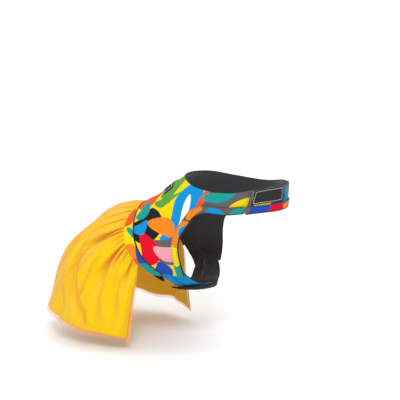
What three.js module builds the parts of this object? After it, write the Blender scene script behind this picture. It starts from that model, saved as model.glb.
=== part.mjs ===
// A dress for a small dog, in the shape it has when worn by a sitting dog. A printed back panel hangs on a neck
// strap and a belly strap, and a gathered skirt under a sheer veil is sewn to a crescent yoke behind it.
// Millimetres: +X towards the dog's head, +Y to its left, +Z up. The origin is on the inside of the back panel,
// where it rests on the withers.
import * as THREE from "three";

// The torso that the dress goes round
const CHEST_DEPTH = 95; // spine to belly, behind the forelegs
const CHEST_WIDTH = 92;
const NECK_DEPTH = 98; // nape to throat, inside the neck strap
const NECK_WIDTH = 76;
const BACK_RUN = 56; // level distance along the spine under the back panel
const BACK_RISE = 38; // climb of the spine over that distance

// Cloth
const PANEL_WALL = 1.6;
const BAND_WALL = 1.0;
const LABEL_WALL = 1.0;
const FASTENER_WALL = 1.0;
const SKIRT_WALL = 1.2;
const VEIL_WALL = 1.0;
const SEAM_GAP = 0.4; // between pieces that are sewn edge to edge
const LAYER_GAP = 0.4; // between pieces that lie on each other

// Straps, bands and labels
const NECK_STRAP_WIDTH = 21.5;
const SHOULDER_FLARE = 9; // extra width of the neck strap at its shoulder seam
const ARMHOLE_BAND_WIDTH = 7;
const BELLY_STRAP_WIDTH = 30;
const BELLY_TUCK = 5; // how far a belly strap reaches in under the back panel
const BELLY_PLEAT = 1.2; // height of the soft pleats along a belly strap
const LABEL_MARGIN = 0.6; // from the neck label to the strap's edge and to the band
const NECK_LABEL_LENGTH = 27;
const BACK_LABEL_LENGTH = 48;
const BACK_LABEL_HEIGHT = 13;
const BACK_LABEL_TOP = 15; // from the back panel's neck edge
const FASTENER_INSET = 3; // from the strap's edges to the hook and loop patch

// Skirt
const SKIRT_TRAIL = 96; // how far the back of the hem lies behind the seam
const SKIRT_FLARE = 27; // how far the sides of the hem stand out beyond the seam
const SKIRT_DROP = 90; // how far the back of the hem hangs below the seam
const FOLD_DEPTH = 5;
const GATHER_DEPTH = 0.9;
const VEIL_OVERHANG = 4.5; // how far the veil reaches beyond the skirt's hem
const VEIL_SPREAD_SHARE = 0.03; // how far it reaches beyond each front edge, as a share of the half skirt

const RIGHT = 1;
const LEFT = -1;

// Rings of the torso, tail end first. along: the ring's own coordinate. run, rise: where its top lies, as shares
// of BACK_RUN and BACK_RISE. neck: how much it follows the neck's depth and width instead of the chest's.
// depth, width: shares of those sizes. lean: degrees from straight down to the ring's bottom, turning forward.
const RINGS = [
  { along: -0.3, run: -1.0, rise: -0.74, neck: 0, depth: 0.91, width: 1.02, lean: 24 },
  { along: 0.0, run: -0.54, rise: -0.475, neck: 0, depth: 0.895, width: 1.0, lean: 26 },
  { along: 0.25, run: -0.39, rise: -0.34, neck: 0, depth: 1.0, width: 0.98, lean: 32 },
  { along: 0.5, run: -0.27, rise: -0.235, neck: 0, depth: 1.11, width: 0.955, lean: 42 },
  { along: 0.7, run: -0.16, rise: -0.155, neck: 0.4, depth: 1.26, width: 1.005, lean: 68 },
  { along: 0.85, run: 0.0, rise: 0.0, neck: 0.7, depth: 1.262, width: 1.015, lean: 89 },
  { along: 1.0, run: 0.465, rise: 0.525, neck: 1, depth: 1.0, width: 1.0, lean: 89 },
  { along: 1.2, run: 0.75, rise: 0.84, neck: 1, depth: 0.85, width: 0.95, lean: 94 },
];

// The upper edge of the dress round the neck. around: degrees from the spine down a side, 180 at the throat.
const NECK_EDGE = [
  { around: 0, along: 1.0 },
  { around: 40, along: 0.985 },
  { around: 75, along: 0.955 },
  { around: 110, along: 0.95 },
  { around: 145, along: 1.0 },
  { around: 180, along: 1.01 },
];

// The back panel's outline from the spine, at across 0, to its lower end beside the belly, at across 1.
// Its front edge is the neck edge as far as SHOULDER_TOP_SHARE, the seam with the neck strap as far as
// SHOULDER_FOOT_SHARE, and the armhole from there on.
const SHOULDER_TOP_SHARE = 0.5;
const SHOULDER_FOOT_SHARE = 7 / 12;
const SHOULDER_TOP_DEG = 83;
const SHOULDER_FOOT_DEG = 86.5;
const THROAT_DEG = 100; // degrees round from where the neck strap keeps its plain width
const ARMHOLE = [
  { across: 0.65, around: 86, along: 0.715 },
  { across: 0.74, around: 87.5, along: 0.655 },
  { across: 0.83, around: 96.5, along: 0.59 },
  { across: 0.92, around: 111, along: 0.535 },
  { across: 1.0, around: 128, along: 0.48 },
];
const PANEL_REAR = [
  { across: 0, around: 0, along: 0.21 },
  { across: 0.15, around: 20, along: 0.2 },
  { across: 0.3, around: 39, along: 0.165 },
  { across: 0.5, around: 61, along: 0.115 },
  { across: 0.7, around: 82, along: 0.112 },
  { across: 0.85, around: 98, along: 0.145 },
  { across: 1.0, around: 116, along: 0.235 },
  { across: 1.2, around: 134, along: 0.18 },
];

// The band that edges the panel's lower rear corner and runs out to a tip beside the belly strap: its rear edge,
// by places across on the panel's rear edge.
const REAR_BAND_FROM = 0.67;
const REAR_BAND_TO = 1.2;
const REAR_BAND_EDGE = [
  { across: 0.67, around: 80, along: 0.085 },
  { across: 0.78, around: 93, along: 0.035 },
  { across: 0.87, around: 105, along: 0.02 },
  { across: 0.95, around: 115, along: 0.06 },
  { across: 1.05, around: 124, along: 0.11 },
  { across: 1.2, around: 136, along: 0.155 },
];

// The seam between yoke and skirt, by degrees round the body.
const SEAM_END_DEG = 105;
const SKIRT_SEAM = [
  { around: 0, along: 0.12 },
  { around: 14, along: 0.075 },
  { around: 28, along: -0.005 },
  { around: 48, along: -0.055 },
  { around: 64, along: -0.068 },
  { around: 80, along: -0.06 },
  { around: 93, along: -0.03 },
  { around: 105, along: -0.008 },
];

// Where the straps end, in degrees round the body, each from the spine down its own side. The left ones pass
// under the body and close over the right ones.
const NECK_RIGHT_END_DEG = 198;
const NECK_LEFT_END_DEG = 228;
const BELLY_RIGHT_END_DEG = 182;
const BELLY_LEFT_END_DEG = 208;
const BELLY_REAR_ALONG = 0.15; // the belly straps' rear edge under the belly
const BELLY_SETTLE_SHARE = 0.4; // share of a belly strap's length over which it turns to its place under the belly
const PLEATS = 3;
const PLEAT_FROM_DEG = 118; // degrees round between which a belly strap is pleated
const PLEAT_TO_DEG = 162;
const OVERLAP_RAMP_DEG = 16; // degrees over which a strap climbs onto the one below it
const STRAP_END_DEG = 2; // degrees between the right armhole band's end and the left strap's end on it
const PATCH_MARGIN_DEG = 6; // degrees from the two straps' ends to the hook and loop patch between them
const LABEL_FROM_END_DEG = 3; // degrees from the left neck strap's end to its label

// The skirt's lines from seam to hem, from the spine to its front edge. Each is a Bezier curve: hem is its end
// seen from its start, leave and arrive are its handles. Back, out and down are shares of SKIRT_TRAIL, SKIRT_FLARE
// and SKIRT_DROP.
const GORES = [
  gore(0, [1.03, 0.0, 1.0], [0.44, 0.0, 0.04], [-0.03, 0.0, 0.57]),
  gore(27, [0.95, 0.24, 1.0], [0.41, 0.29, 0.07], [0.01, 0.04, 0.54]),
  gore(48, [0.85, 0.5, 0.96], [0.37, 0.44, 0.16], [0.05, 0.14, 0.46]),
  gore(64, [0.63, 0.95, 0.91], [0.31, 0.62, 0.22], [0.08, 0.2, 0.36]),
  gore(80, [0.4, 1.0, 0.87], [0.18, 0.57, 0.27], [0.08, 0.22, 0.3]),
  gore(93, [0.18, 0.94, 0.84], [0.08, 0.45, 0.28], [0.05, 0.18, 0.28]),
  gore(105, [0.03, 0.6, 0.79], [0.01, 0.26, 0.26], [0.01, 0.15, 0.26]),
];

// Soft folds of the skirt, the right side first. at: share of the way from spine to front edge. depth: share of
// FOLD_DEPTH, negative where the cloth dips. width: share of the half skirt. from, to: shares of the length.
const FOLDS = [
  { side: RIGHT, at: 0.12, depth: 0.7, width: 0.09, from: 0.1, to: 1.4 },
  { side: RIGHT, at: 0.25, depth: -0.8, width: 0.07, from: 0.0, to: 1.0 },
  { side: RIGHT, at: 0.36, depth: 0.8, width: 0.08, from: 0.1, to: 1.4 },
  { side: RIGHT, at: 0.46, depth: -1.0, width: 0.07, from: 0.0, to: 0.65 },
  { side: RIGHT, at: 0.58, depth: 0.8, width: 0.08, from: 0.1, to: 1.4 },
  { side: RIGHT, at: 0.73, depth: -1.0, width: 0.07, from: 0.0, to: 0.7 },
  { side: RIGHT, at: 0.82, depth: 0.6, width: 0.06, from: 0.1, to: 1.3 },
  { side: RIGHT, at: 0.89, depth: -0.6, width: 0.06, from: 0.0, to: 0.55 },
  { side: LEFT, at: 0.1, depth: -0.7, width: 0.08, from: 0.0, to: 1.0 },
  { side: LEFT, at: 0.24, depth: 0.9, width: 0.1, from: 0.1, to: 1.3 },
  { side: LEFT, at: 0.38, depth: -1.0, width: 0.08, from: 0.0, to: 0.85 },
  { side: LEFT, at: 0.5, depth: 0.8, width: 0.08, from: 0.2, to: 1.4 },
  { side: LEFT, at: 0.63, depth: -0.9, width: 0.08, from: 0.0, to: 0.8 },
  { side: LEFT, at: 0.77, depth: 0.7, width: 0.08, from: 0.1, to: 1.3 },
  { side: LEFT, at: 0.9, depth: -0.5, width: 0.05, from: 0.0, to: 0.9 },
];

// How finely the cloth is divided
const PANEL_COLUMNS = 48;
const PANEL_ROWS = 8;
const SKIRT_COLUMNS = 60; // each one is half a gather
const SKIRT_ROWS = 10;
const STRAP_STEP_DEG = 6; // degrees round

const SEAM_TURN_SHARE = 0.15; // share of the length over which the skirt turns off the yoke's direction
const SEAM_SPREAD_SHARE = 0.25; // share of its spread that the veil has at the seam
const SPREAD_FROM_SHARE = 0.12; // share of the length by which it has its full spread
const GATHER_REACH_SHARE = 0.3; // share of the skirt's length over which the gathers die out
const FOLD_GROWTH_SHARE = 0.3; // share of the length over which a fold grows to its depth
const FOLD_FADE_SHARE = 0.35; // and over which it fades

function gore(around, hem, leave, arrive) {
  const columns = { around };
  const handles = { hem, leave, arrive };
  for (const name of Object.keys(handles)) {
    columns[name + "Back"] = handles[name][0];
    columns[name + "Out"] = handles[name][1];
    columns[name + "Down"] = handles[name][2];
  }
  return columns;
}

// Every column of a table at one value of its key column, on a smooth curve through the rows.
function read(table, key, value) {
  const last = table.length - 1;
  let i = 0;
  while (i < last - 1 && value >= table[i + 1][key]) i++;
  const span = table[i + 1][key] - table[i][key];
  const t = (value - table[i][key]) / span;
  const secant = (k, column) => (table[k + 1][column] - table[k][column]) / (table[k + 1][key] - table[k][key]);
  const slope = (k, column) => {
    if (k === 0) return secant(0, column);
    if (k === last) return secant(last - 1, column);
    const before = table[k][key] - table[k - 1][key];
    const after = table[k + 1][key] - table[k][key];
    return (before * secant(k, column) + after * secant(k - 1, column)) / (before + after);
  };
  const found = {};
  for (const column of Object.keys(table[i])) {
    const start = table[i][column];
    const end = table[i + 1][column];
    const rise = 3 * (end - start) - span * (2 * slope(i, column) + slope(i + 1, column));
    const curl = 2 * (start - end) + span * (slope(i, column) + slope(i + 1, column));
    found[column] = start + t * (span * slope(i, column) + t * (rise + t * curl));
  }
  return found;
}

const mix = THREE.MathUtils.lerp;
const smooth = (value, from, to) => THREE.MathUtils.smoothstep(value, from, to);

// A point of the torso. around: degrees from the spine down the right side, and on round to the left.
function torso({ along, around }) {
  const ring = read(RINGS, "along", along);
  const depth = ring.depth * mix(CHEST_DEPTH, NECK_DEPTH, ring.neck);
  const width = ring.width * mix(CHEST_WIDTH, NECK_WIDTH, ring.neck);
  const lean = THREE.MathUtils.degToRad(ring.lean);
  const angle = THREE.MathUtils.degToRad(around);
  const down = (depth * (1 - Math.cos(angle))) / 2;
  return new THREE.Vector3(
    ring.run * BACK_RUN + down * Math.sin(lean),
    (-width * Math.sin(angle)) / 2,
    ring.rise * BACK_RISE - down * Math.cos(lean),
  );
}

// The torso at a place: its point, how it changes along and around, and its outward direction.
function torsoFrame(place) {
  const { along, around } = place;
  const STEP = 1e-3;
  const TURN = 0.1;
  const forward = torso({ along: along + STEP, around })
    .sub(torso({ along: along - STEP, around }))
    .divideScalar(2 * STEP);
  const sideways = torso({ along, around: around + TURN })
    .sub(torso({ along, around: around - TURN }))
    .divideScalar(2 * TURN);
  const normal = sideways.clone().cross(forward).normalize();
  return { point: torso(place), forward, sideways, normal };
}

// The place a given distance away over the torso, or back against the heading if the distance is negative.
// heading: from the torso's frame at a place, the direction to go there.
function walk(place, heading, distance) {
  const STEPS = 6;
  let { along, around } = place;
  for (let i = 0; i < STEPS; i++) {
    const frame = torsoFrame({ along, around });
    const { forward, sideways, normal } = frame;
    const step = heading(frame).clone().projectOnPlane(normal).setLength(distance / STEPS);
    const ff = forward.dot(forward);
    const fs = forward.dot(sideways);
    const ss = sideways.dot(sideways);
    const scale = 1 / (ff * ss - fs * fs);
    along += (step.dot(forward) * ss - step.dot(sideways) * fs) * scale;
    around += (step.dot(sideways) * ff - step.dot(forward) * fs) * scale;
  }
  return { along, around };
}

const walkForward = (place, distance) => walk(place, ({ forward }) => forward, distance);
const walkDown = (place, distance) => walk(place, ({ sideways }) => sideways, distance);
const between = (a, b, share) => ({
  along: mix(a.along, b.along, share),
  around: mix(a.around, b.around, share),
});

// One closed solid from a grid. at(column, row) takes shares from 0 to 1 and gives a point, its outward
// direction, and how far below and above the point the wall's two faces lie.
function shell(name, material, columns, rows, at) {
  const corners = [];
  for (const face of ["outer", "inner"]) {
    for (let r = 0; r <= rows; r++) {
      for (let c = 0; c <= columns; c++) {
        const spot = at(c / columns, r / rows);
        corners.push(spot.point.clone().addScaledVector(spot.normal, spot[face]));
      }
    }
  }
  const inside = (rows + 1) * (columns + 1);
  const id = (c, r) => r * (columns + 1) + c;
  const triangles = [];
  const quad = (a, b, c, d) => triangles.push([a, b, c], [a, c, d]);
  for (let r = 0; r < rows; r++) {
    for (let c = 0; c < columns; c++) {
      quad(id(c, r), id(c + 1, r), id(c + 1, r + 1), id(c, r + 1));
      quad(inside + id(c, r), inside + id(c, r + 1), inside + id(c + 1, r + 1), inside + id(c + 1, r));
    }
  }
  for (let c = 0; c < columns; c++) {
    quad(id(c, 0), inside + id(c, 0), inside + id(c + 1, 0), id(c + 1, 0));
    quad(id(c, rows), id(c + 1, rows), inside + id(c + 1, rows), inside + id(c, rows));
  }
  for (let r = 0; r < rows; r++) {
    quad(id(0, r), id(0, r + 1), inside + id(0, r + 1), inside + id(0, r));
    quad(id(columns, r), inside + id(columns, r), inside + id(columns, r + 1), id(columns, r + 1));
  }
  let volume = 0;
  for (const [a, b, c] of triangles) volume += corners[a].dot(corners[b].clone().cross(corners[c]));
  if (volume < 0) for (const t of triangles) t.reverse();
  const geometry = new THREE.BufferGeometry();
  geometry.setAttribute("position", new THREE.Float32BufferAttribute(corners.flatMap((p) => p.toArray()), 3));
  geometry.setIndex(triangles.flat());
  geometry.computeVertexNormals();
  const mesh = new THREE.Mesh(geometry, material);
  mesh.name = name;
  return mesh;
}

// A spot of cloth over a place of the torso. The left side is the right side's mirror image.
function clothAt(place, side, inner, wall) {
  const { point, normal } = torsoFrame(place);
  point.y *= side;
  normal.y *= side;
  return { point, normal, inner, outer: inner + wall };
}

const fromSpine = (around) => Math.min(Math.abs(around), 360 - around);
const neckEdge = (around) => ({ along: read(NECK_EDGE, "around", fromSpine(around)).along, around });
function strapFoot(around) {
  const flare = Math.max(0, (THROAT_DEG - fromSpine(around)) / (THROAT_DEG - SHOULDER_FOOT_DEG)) ** 2;
  return walkForward(neckEdge(around), -NECK_STRAP_WIDTH - SHOULDER_FLARE * flare);
}

// The back panel's front edge.
const SHOULDER = { top: neckEdge(SHOULDER_TOP_DEG), foot: strapFoot(SHOULDER_FOOT_DEG) };
const ARMHOLE_EDGE = [{ across: SHOULDER_FOOT_SHARE, ...SHOULDER.foot }, ...ARMHOLE];
function panelFront(across) {
  if (across <= SHOULDER_TOP_SHARE) return neckEdge((SHOULDER_TOP_DEG * across) / SHOULDER_TOP_SHARE);
  if (across <= SHOULDER_FOOT_SHARE) {
    const share = (across - SHOULDER_TOP_SHARE) / (SHOULDER_FOOT_SHARE - SHOULDER_TOP_SHARE);
    return between(SHOULDER.top, SHOULDER.foot, share);
  }
  const { along, around } = read(ARMHOLE_EDGE, "across", across);
  return { along, around };
}

function panelRear(across) {
  const { along, around } = read(PANEL_REAR, "across", across);
  return { along, around };
}

function backPanel(material) {
  return shell("back_panel", material, PANEL_COLUMNS, PANEL_ROWS, (column, row) => {
    const across = 2 * column - 1;
    const place = between(panelRear(Math.abs(across)), panelFront(Math.abs(across)), row);
    return clothAt(place, across < 0 ? LEFT : RIGHT, 0, PANEL_WALL);
  });
}

// The edge of the rear band away from the panel.
function rearBandEdge(across) {
  const { along, around } = read(REAR_BAND_EDGE, "across", across);
  return { along, around };
}

function rearBand(name, material, side) {
  return shell(name, material, 16, 2, (column, row) => {
    const across = mix(REAR_BAND_FROM, REAR_BAND_TO, column);
    const start = walkForward(panelRear(across), -SEAM_GAP);
    return clothAt(between(start, rearBandEdge(across), row), side, 0, PANEL_WALL);
  });
}

const seam = (around) => ({ along: read(SKIRT_SEAM, "around", around).along, around });

// What the yoke's front edge is sewn to: the panel as far as the rear band's tip, and the band from there on.
function yokeFront(around) {
  const edges = [];
  const STOPS = 40;
  for (let i = 0; i <= STOPS; i++) {
    const across = i / STOPS;
    edges.push(across < REAR_BAND_FROM ? panelRear(across) : rearBandEdge(across));
  }
  let i = 0;
  while (i < STOPS - 1 && edges[i + 1].around < around) i++;
  const share = (around - edges[i].around) / (edges[i + 1].around - edges[i].around);
  return { along: between(edges[i], edges[i + 1], share).along, around };
}

function yoke(material) {
  return shell("yoke", material, SKIRT_COLUMNS, 1, (column, row) => {
    const around = (2 * column - 1) * SEAM_END_DEG;
    const side = around < 0 ? LEFT : RIGHT;
    const front = walkForward(yokeFront(Math.abs(around)), -SEAM_GAP);
    return clothAt(between(seam(Math.abs(around)), front, row), side, 0, PANEL_WALL);
  });
}

// How far a left strap lies above the torso, climbing onto the right strap and the patch on it.
const OVERLAP_HEIGHT = PANEL_WALL + LAYER_GAP + FASTENER_WALL + LAYER_GAP;
function climb(around, side, rightEnd) {
  return side === RIGHT ? 0 : OVERLAP_HEIGHT * smooth(around, 360 - rightEnd - OVERLAP_RAMP_DEG, 360 - rightEnd);
}

// A neck strap, from its shoulder seam to its end.
function neckStrap(name, material, side) {
  const end = side === RIGHT ? NECK_RIGHT_END_DEG : NECK_LEFT_END_DEG;
  const top = walkDown(SHOULDER.top, SEAM_GAP);
  const foot = walkDown(SHOULDER.foot, SEAM_GAP);
  const along = (around, row) => between(neckEdge(around), strapFoot(around), row).along;
  const columns = Math.round((end - SHOULDER_TOP_DEG) / STRAP_STEP_DEG) + 4;
  return shell(name, material, columns, 3, (column, row) => {
    const start = between(top, foot, row);
    const around = mix(start.around, end, column);
    const turned = (start.along - along(start.around, row)) * (1 - column) ** 3;
    const place = { along: along(around, row) + turned, around };
    return clothAt(place, side, climb(around, side, NECK_RIGHT_END_DEG), PANEL_WALL);
  });
}

// The places of a path, evenly spaced, each with the direction that the path runs there.
function evenly(path, count) {
  const DENSE = 400;
  const places = Array.from({ length: DENSE + 1 }, (_, i) => path(i / DENSE));
  const points = places.map(torso);
  const lengths = [0];
  for (let i = 1; i <= DENSE; i++) lengths.push(lengths[i - 1] + points[i].distanceTo(points[i - 1]));
  return Array.from({ length: count + 1 }, (_, k) => {
    const wanted = (lengths[DENSE] * k) / count;
    let i = 0;
    while (i < DENSE - 1 && lengths[i + 1] < wanted) i++;
    const share = (wanted - lengths[i]) / (lengths[i + 1] - lengths[i]);
    const heading = points[Math.min(i + 2, DENSE)].clone().sub(points[Math.max(i - 1, 0)]).normalize();
    return { place: between(places[i], places[i + 1], share), heading };
  });
}

// The band that edges an armhole and goes on along the lower edge of the neck strap.
function armholeBand(name, material, side) {
  const end = side === RIGHT ? 360 - NECK_LEFT_END_DEG - STRAP_END_DEG : NECK_LEFT_END_DEG;
  const path = (share) =>
    share < 0.5
      ? panelFront(mix(1, SHOULDER_FOOT_SHARE, share * 2))
      : strapFoot(mix(SHOULDER_FOOT_DEG, end, share * 2 - 1));
  const columns = Math.round((end - SHOULDER_FOOT_DEG) / STRAP_STEP_DEG) + 22;
  const spots = evenly(path, columns);
  return shell(name, material, columns, 2, (column, row) => {
    const { place, heading } = spots[Math.round(column * columns)];
    const inward = torsoFrame(place).normal.cross(heading);
    const inner = walk(place, () => inward, ARMHOLE_BAND_WIDTH * row);
    const base = climb(inner.around, side, NECK_RIGHT_END_DEG) + PANEL_WALL + LAYER_GAP;
    return clothAt(inner, side, base, BAND_WALL);
  });
}

// A belly strap starts inside the back panel's lower end. The left one closes over the right one's end.
const BELLY_INNER = -(LAYER_GAP + PANEL_WALL);
function bellyRows(around) {
  const rear = { along: BELLY_REAR_ALONG, around };
  return { low: rear, high: { along: walkForward(rear, BELLY_STRAP_WIDTH).along, around } };
}

function bellyStrap(name, material, side) {
  const end = side === RIGHT ? BELLY_RIGHT_END_DEG : BELLY_LEFT_END_DEG;
  const columns = Math.round((end - panelRear(1).around) / STRAP_STEP_DEG) + 4;
  return shell(name, material, columns, 2 * PLEATS, (column, row) => {
    const start = walkDown(between(panelRear(1), panelFront(1), row), -BELLY_TUCK);
    const { low, high } = bellyRows(end);
    const around = mix(start.around, end, column);
    const along = mix(start.along, between(low, high, row).along, smooth(column, 0, BELLY_SETTLE_SHARE));
    const way = THREE.MathUtils.clamp((around - PLEAT_FROM_DEG) / (PLEAT_TO_DEG - PLEAT_FROM_DEG), 0, 1);
    const pleat = BELLY_PLEAT * Math.sin(Math.PI * way) * Math.sin(PLEATS * Math.PI * row) ** 2;
    const inner = BELLY_INNER + climb(around, side, BELLY_RIGHT_END_DEG) - pleat;
    return clothAt({ along, around }, side, inner, PANEL_WALL);
  });
}

// The hook and loop patch between two straps that overlap. edges: the under strap's edges at a place round.
function fastener(name, material, leftEnd, rightEnd, edges, inner) {
  const from = 360 - leftEnd + PATCH_MARGIN_DEG;
  const to = rightEnd - PATCH_MARGIN_DEG;
  return shell(name, material, Math.round((to - from) / STRAP_STEP_DEG), 2, (column, row) => {
    const { low, high } = edges(mix(from, to, column));
    const place = between(walkForward(low, FASTENER_INSET), walkForward(high, -FASTENER_INSET), row);
    return clothAt(place, RIGHT, inner + PANEL_WALL + LAYER_GAP, FASTENER_WALL);
  });
}

// A woven label that follows the neck edge at a distance below it, from one place down round the body.
function label(name, material, start, drop, length, height, inner) {
  return shell(name, material, 12, 3, (column, row) => {
    const { around } = walkDown(neckEdge(start), length * column);
    return clothAt(walkForward(neckEdge(around), -drop - height * row), RIGHT, inner, LABEL_WALL);
  });
}

// One line of the skirt from seam to hem, in space.
function skirtPoint(across, down) {
  const half = Math.abs(across);
  const side = across < 0 ? LEFT : RIGHT;
  const around = half * SEAM_END_DEG;
  const line = read(GORES, "around", around);
  const start = torso(walkForward(seam(around), -SEAM_GAP));
  const reach = (name) =>
    new THREE.Vector3(
      -line[name + "Back"] * SKIRT_TRAIL,
      -line[name + "Out"] * SKIRT_FLARE,
      -line[name + "Down"] * SKIRT_DROP,
    );
  const hem = start.clone().add(reach("hem"));
  const leave = start.clone().add(reach("leave"));
  const curve = new THREE.CubicBezierCurve3(start, leave, hem.clone().sub(reach("arrive")), hem);
  const point = curve.getPoint(Math.min(down, 1));
  if (down > 1) point.addScaledVector(curve.getTangent(1), (down - 1) * SKIRT_DROP);
  point.y *= side;
  return point;
}

// The skirt's outward direction. At the seam it is that of the torso, so that skirt and yoke meet edge to edge.
function skirtNormal(across, down) {
  const STEP = 0.01;
  const sideways = skirtPoint(across + STEP, down).sub(skirtPoint(across - STEP, down));
  const downward = skirtPoint(across, down + STEP).sub(skirtPoint(across, Math.max(down - STEP, 0)));
  const own = downward.cross(sideways).normalize();
  const { normal } = torsoFrame(seam(Math.abs(across) * SEAM_END_DEG));
  if (across < 0) normal.y *= -1;
  return normal.lerp(own, smooth(down, 0, SEAM_TURN_SHARE)).normalize();
}

// How far the folds and gathers lift the skirt off its plain form.
function skirtFold(across, down) {
  let lift = 0;
  for (const fold of FOLDS) {
    const away = (across * fold.side - fold.at) / fold.width;
    if (Math.abs(away) < 1) {
      const grown = smooth(down, fold.from, fold.from + FOLD_GROWTH_SHARE);
      const kept = 1 - smooth(down, fold.to - FOLD_FADE_SHARE, fold.to);
      lift += fold.depth * FOLD_DEPTH * grown * kept * Math.cos((away * Math.PI) / 2) ** 2;
    }
  }
  return lift;
}

// One layer of the skirt. Both layers have the same grid, and the veil has one more row at the hem and one more
// column at each front edge, by which it reaches beyond the skirt.
function skirtLayer(name, material, inner, wall, more) {
  const columns = SKIRT_COLUMNS + 2 * more;
  const rows = SKIRT_ROWS + more;
  return shell(name, material, columns, rows, (column, row) => {
    const c = Math.round(column * columns) - more;
    const r = Math.round(row * rows);
    const down = r > SKIRT_ROWS ? 1 + VEIL_OVERHANG / SKIRT_DROP : r / SKIRT_ROWS;
    const spread = VEIL_SPREAD_SHARE * mix(SEAM_SPREAD_SHARE, 1, smooth(down, 0, SPREAD_FROM_SHARE));
    const across = THREE.MathUtils.clamp((2 * c) / SKIRT_COLUMNS - 1, -1 - spread, 1 + spread);
    const gather = (c % 2 ? 1 : -1) * GATHER_DEPTH * (1 - smooth(down, 0, GATHER_REACH_SHARE));
    const base = inner + skirtFold(across, down) + gather;
    return { point: skirtPoint(across, down), normal: skirtNormal(across, down), inner: base, outer: base + wall };
  });
}

const cloth = (color, roughness = 0.85) => new THREE.MeshStandardMaterial({ color, roughness, metalness: 0 });
const print = cloth(0xe3bf16);
const bandPrint = cloth(0x2e63b8);
const yellow = cloth(0xf4c81c, 0.6);
const peach = cloth(0xf0a070, 0.5);
const black = cloth(0x151517, 0.75);

const SKIRT_INNER = (PANEL_WALL - LAYER_GAP) / 2 - SKIRT_WALL;
const VEIL_INNER = SKIRT_INNER + SKIRT_WALL + LAYER_GAP;
const BACK_LABEL_INNER = PANEL_WALL + LAYER_GAP;
const NECK_LABEL_INNER = OVERLAP_HEIGHT + PANEL_WALL + LAYER_GAP;
const NECK_LABEL_START = 360 - NECK_LEFT_END_DEG + LABEL_FROM_END_DEG;
const NECK_LABEL_HEIGHT = NECK_STRAP_WIDTH - ARMHOLE_BAND_WIDTH - 2 * LABEL_MARGIN;
const BACK_LABEL_START = walkDown(neckEdge(0), -BACK_LABEL_LENGTH / 2).around;
const neckLabel = [NECK_LABEL_START, LABEL_MARGIN, NECK_LABEL_LENGTH, NECK_LABEL_HEIGHT, NECK_LABEL_INNER];
const backLabel = [BACK_LABEL_START, BACK_LABEL_TOP, BACK_LABEL_LENGTH, BACK_LABEL_HEIGHT, BACK_LABEL_INNER];
const neckRows = (around) => ({ low: strapFoot(around), high: neckEdge(around) });

const dress = new THREE.Group();
dress.add(
  backPanel(print),
  rearBand("rear_band_right", bandPrint, RIGHT),
  rearBand("rear_band_left", bandPrint, LEFT),
  armholeBand("armhole_band_right", bandPrint, RIGHT),
  armholeBand("armhole_band_left", bandPrint, LEFT),
  neckStrap("neck_strap_right", print, RIGHT),
  neckStrap("neck_strap_left", print, LEFT),
  fastener("neck_fastener", black, NECK_LEFT_END_DEG, NECK_RIGHT_END_DEG, neckRows, 0),
  bellyStrap("belly_strap_right", bandPrint, RIGHT),
  bellyStrap("belly_strap_left", bandPrint, LEFT),
  fastener("belly_fastener", black, BELLY_LEFT_END_DEG, BELLY_RIGHT_END_DEG, bellyRows, BELLY_INNER),
  label("neck_label", black, ...neckLabel),
  label("back_label", black, ...backLabel),
  yoke(print),
  skirtLayer("skirt", yellow, SKIRT_INNER, SKIRT_WALL, 0),
  skirtLayer("skirt_veil", peach, VEIL_INNER, VEIL_WALL, 1),
);

export default dress;
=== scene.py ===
"""Looks of a small dog's dress: printed back panel, bands and straps, and a gathered satin skirt under a
sheer veil."""

import math

import bmesh
import bpy
import numpy as np
from bpy.props import FloatProperty, FloatVectorProperty, IntProperty, PointerProperty
from mathutils import Matrix, Vector


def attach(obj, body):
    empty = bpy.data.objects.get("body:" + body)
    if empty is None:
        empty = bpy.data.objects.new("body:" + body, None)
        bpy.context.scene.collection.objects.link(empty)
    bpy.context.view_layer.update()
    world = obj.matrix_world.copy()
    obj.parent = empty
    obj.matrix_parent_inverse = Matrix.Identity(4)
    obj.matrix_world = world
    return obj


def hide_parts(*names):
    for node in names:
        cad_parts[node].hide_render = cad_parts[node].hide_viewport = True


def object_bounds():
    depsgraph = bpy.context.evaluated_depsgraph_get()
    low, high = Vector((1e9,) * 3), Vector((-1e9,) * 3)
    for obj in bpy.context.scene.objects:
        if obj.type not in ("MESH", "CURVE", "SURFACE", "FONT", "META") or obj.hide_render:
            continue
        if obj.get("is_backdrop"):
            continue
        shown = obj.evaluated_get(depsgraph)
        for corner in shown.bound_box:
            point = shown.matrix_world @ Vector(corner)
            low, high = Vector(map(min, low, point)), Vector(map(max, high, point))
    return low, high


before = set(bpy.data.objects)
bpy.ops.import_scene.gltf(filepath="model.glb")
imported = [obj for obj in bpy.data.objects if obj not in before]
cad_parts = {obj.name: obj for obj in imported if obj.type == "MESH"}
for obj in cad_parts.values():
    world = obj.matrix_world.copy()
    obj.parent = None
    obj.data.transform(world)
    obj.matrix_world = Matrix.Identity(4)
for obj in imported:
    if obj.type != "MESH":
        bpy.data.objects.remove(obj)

bl_info = {
    "name": "Dog dress",
    "version": (1, 0, 0),
    "blender": (4, 5, 0),
    "location": "View3D > Sidebar > Dog dress",
    "description": "Builds the cloth pieces of a small dog's dress round its CAD frame",
    "category": "Add Mesh",
}

# The torso that the dress goes round, in metres
CHEST_DEPTH = 0.095
CHEST_WIDTH = 0.092
NECK_DEPTH = 0.098
NECK_WIDTH = 0.076
BACK_RUN = 0.056
BACK_RISE = 0.038

# Walls and gaps of the cloth
PANEL_WALL = 0.0016
BAND_WALL = 0.001
LABEL_WALL = 0.0007
FASTENER_WALL = 0.001
SATIN_WALL = 0.0006
SEAM_GAP = 0.0004
LAYER_GAP = 0.0004

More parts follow.
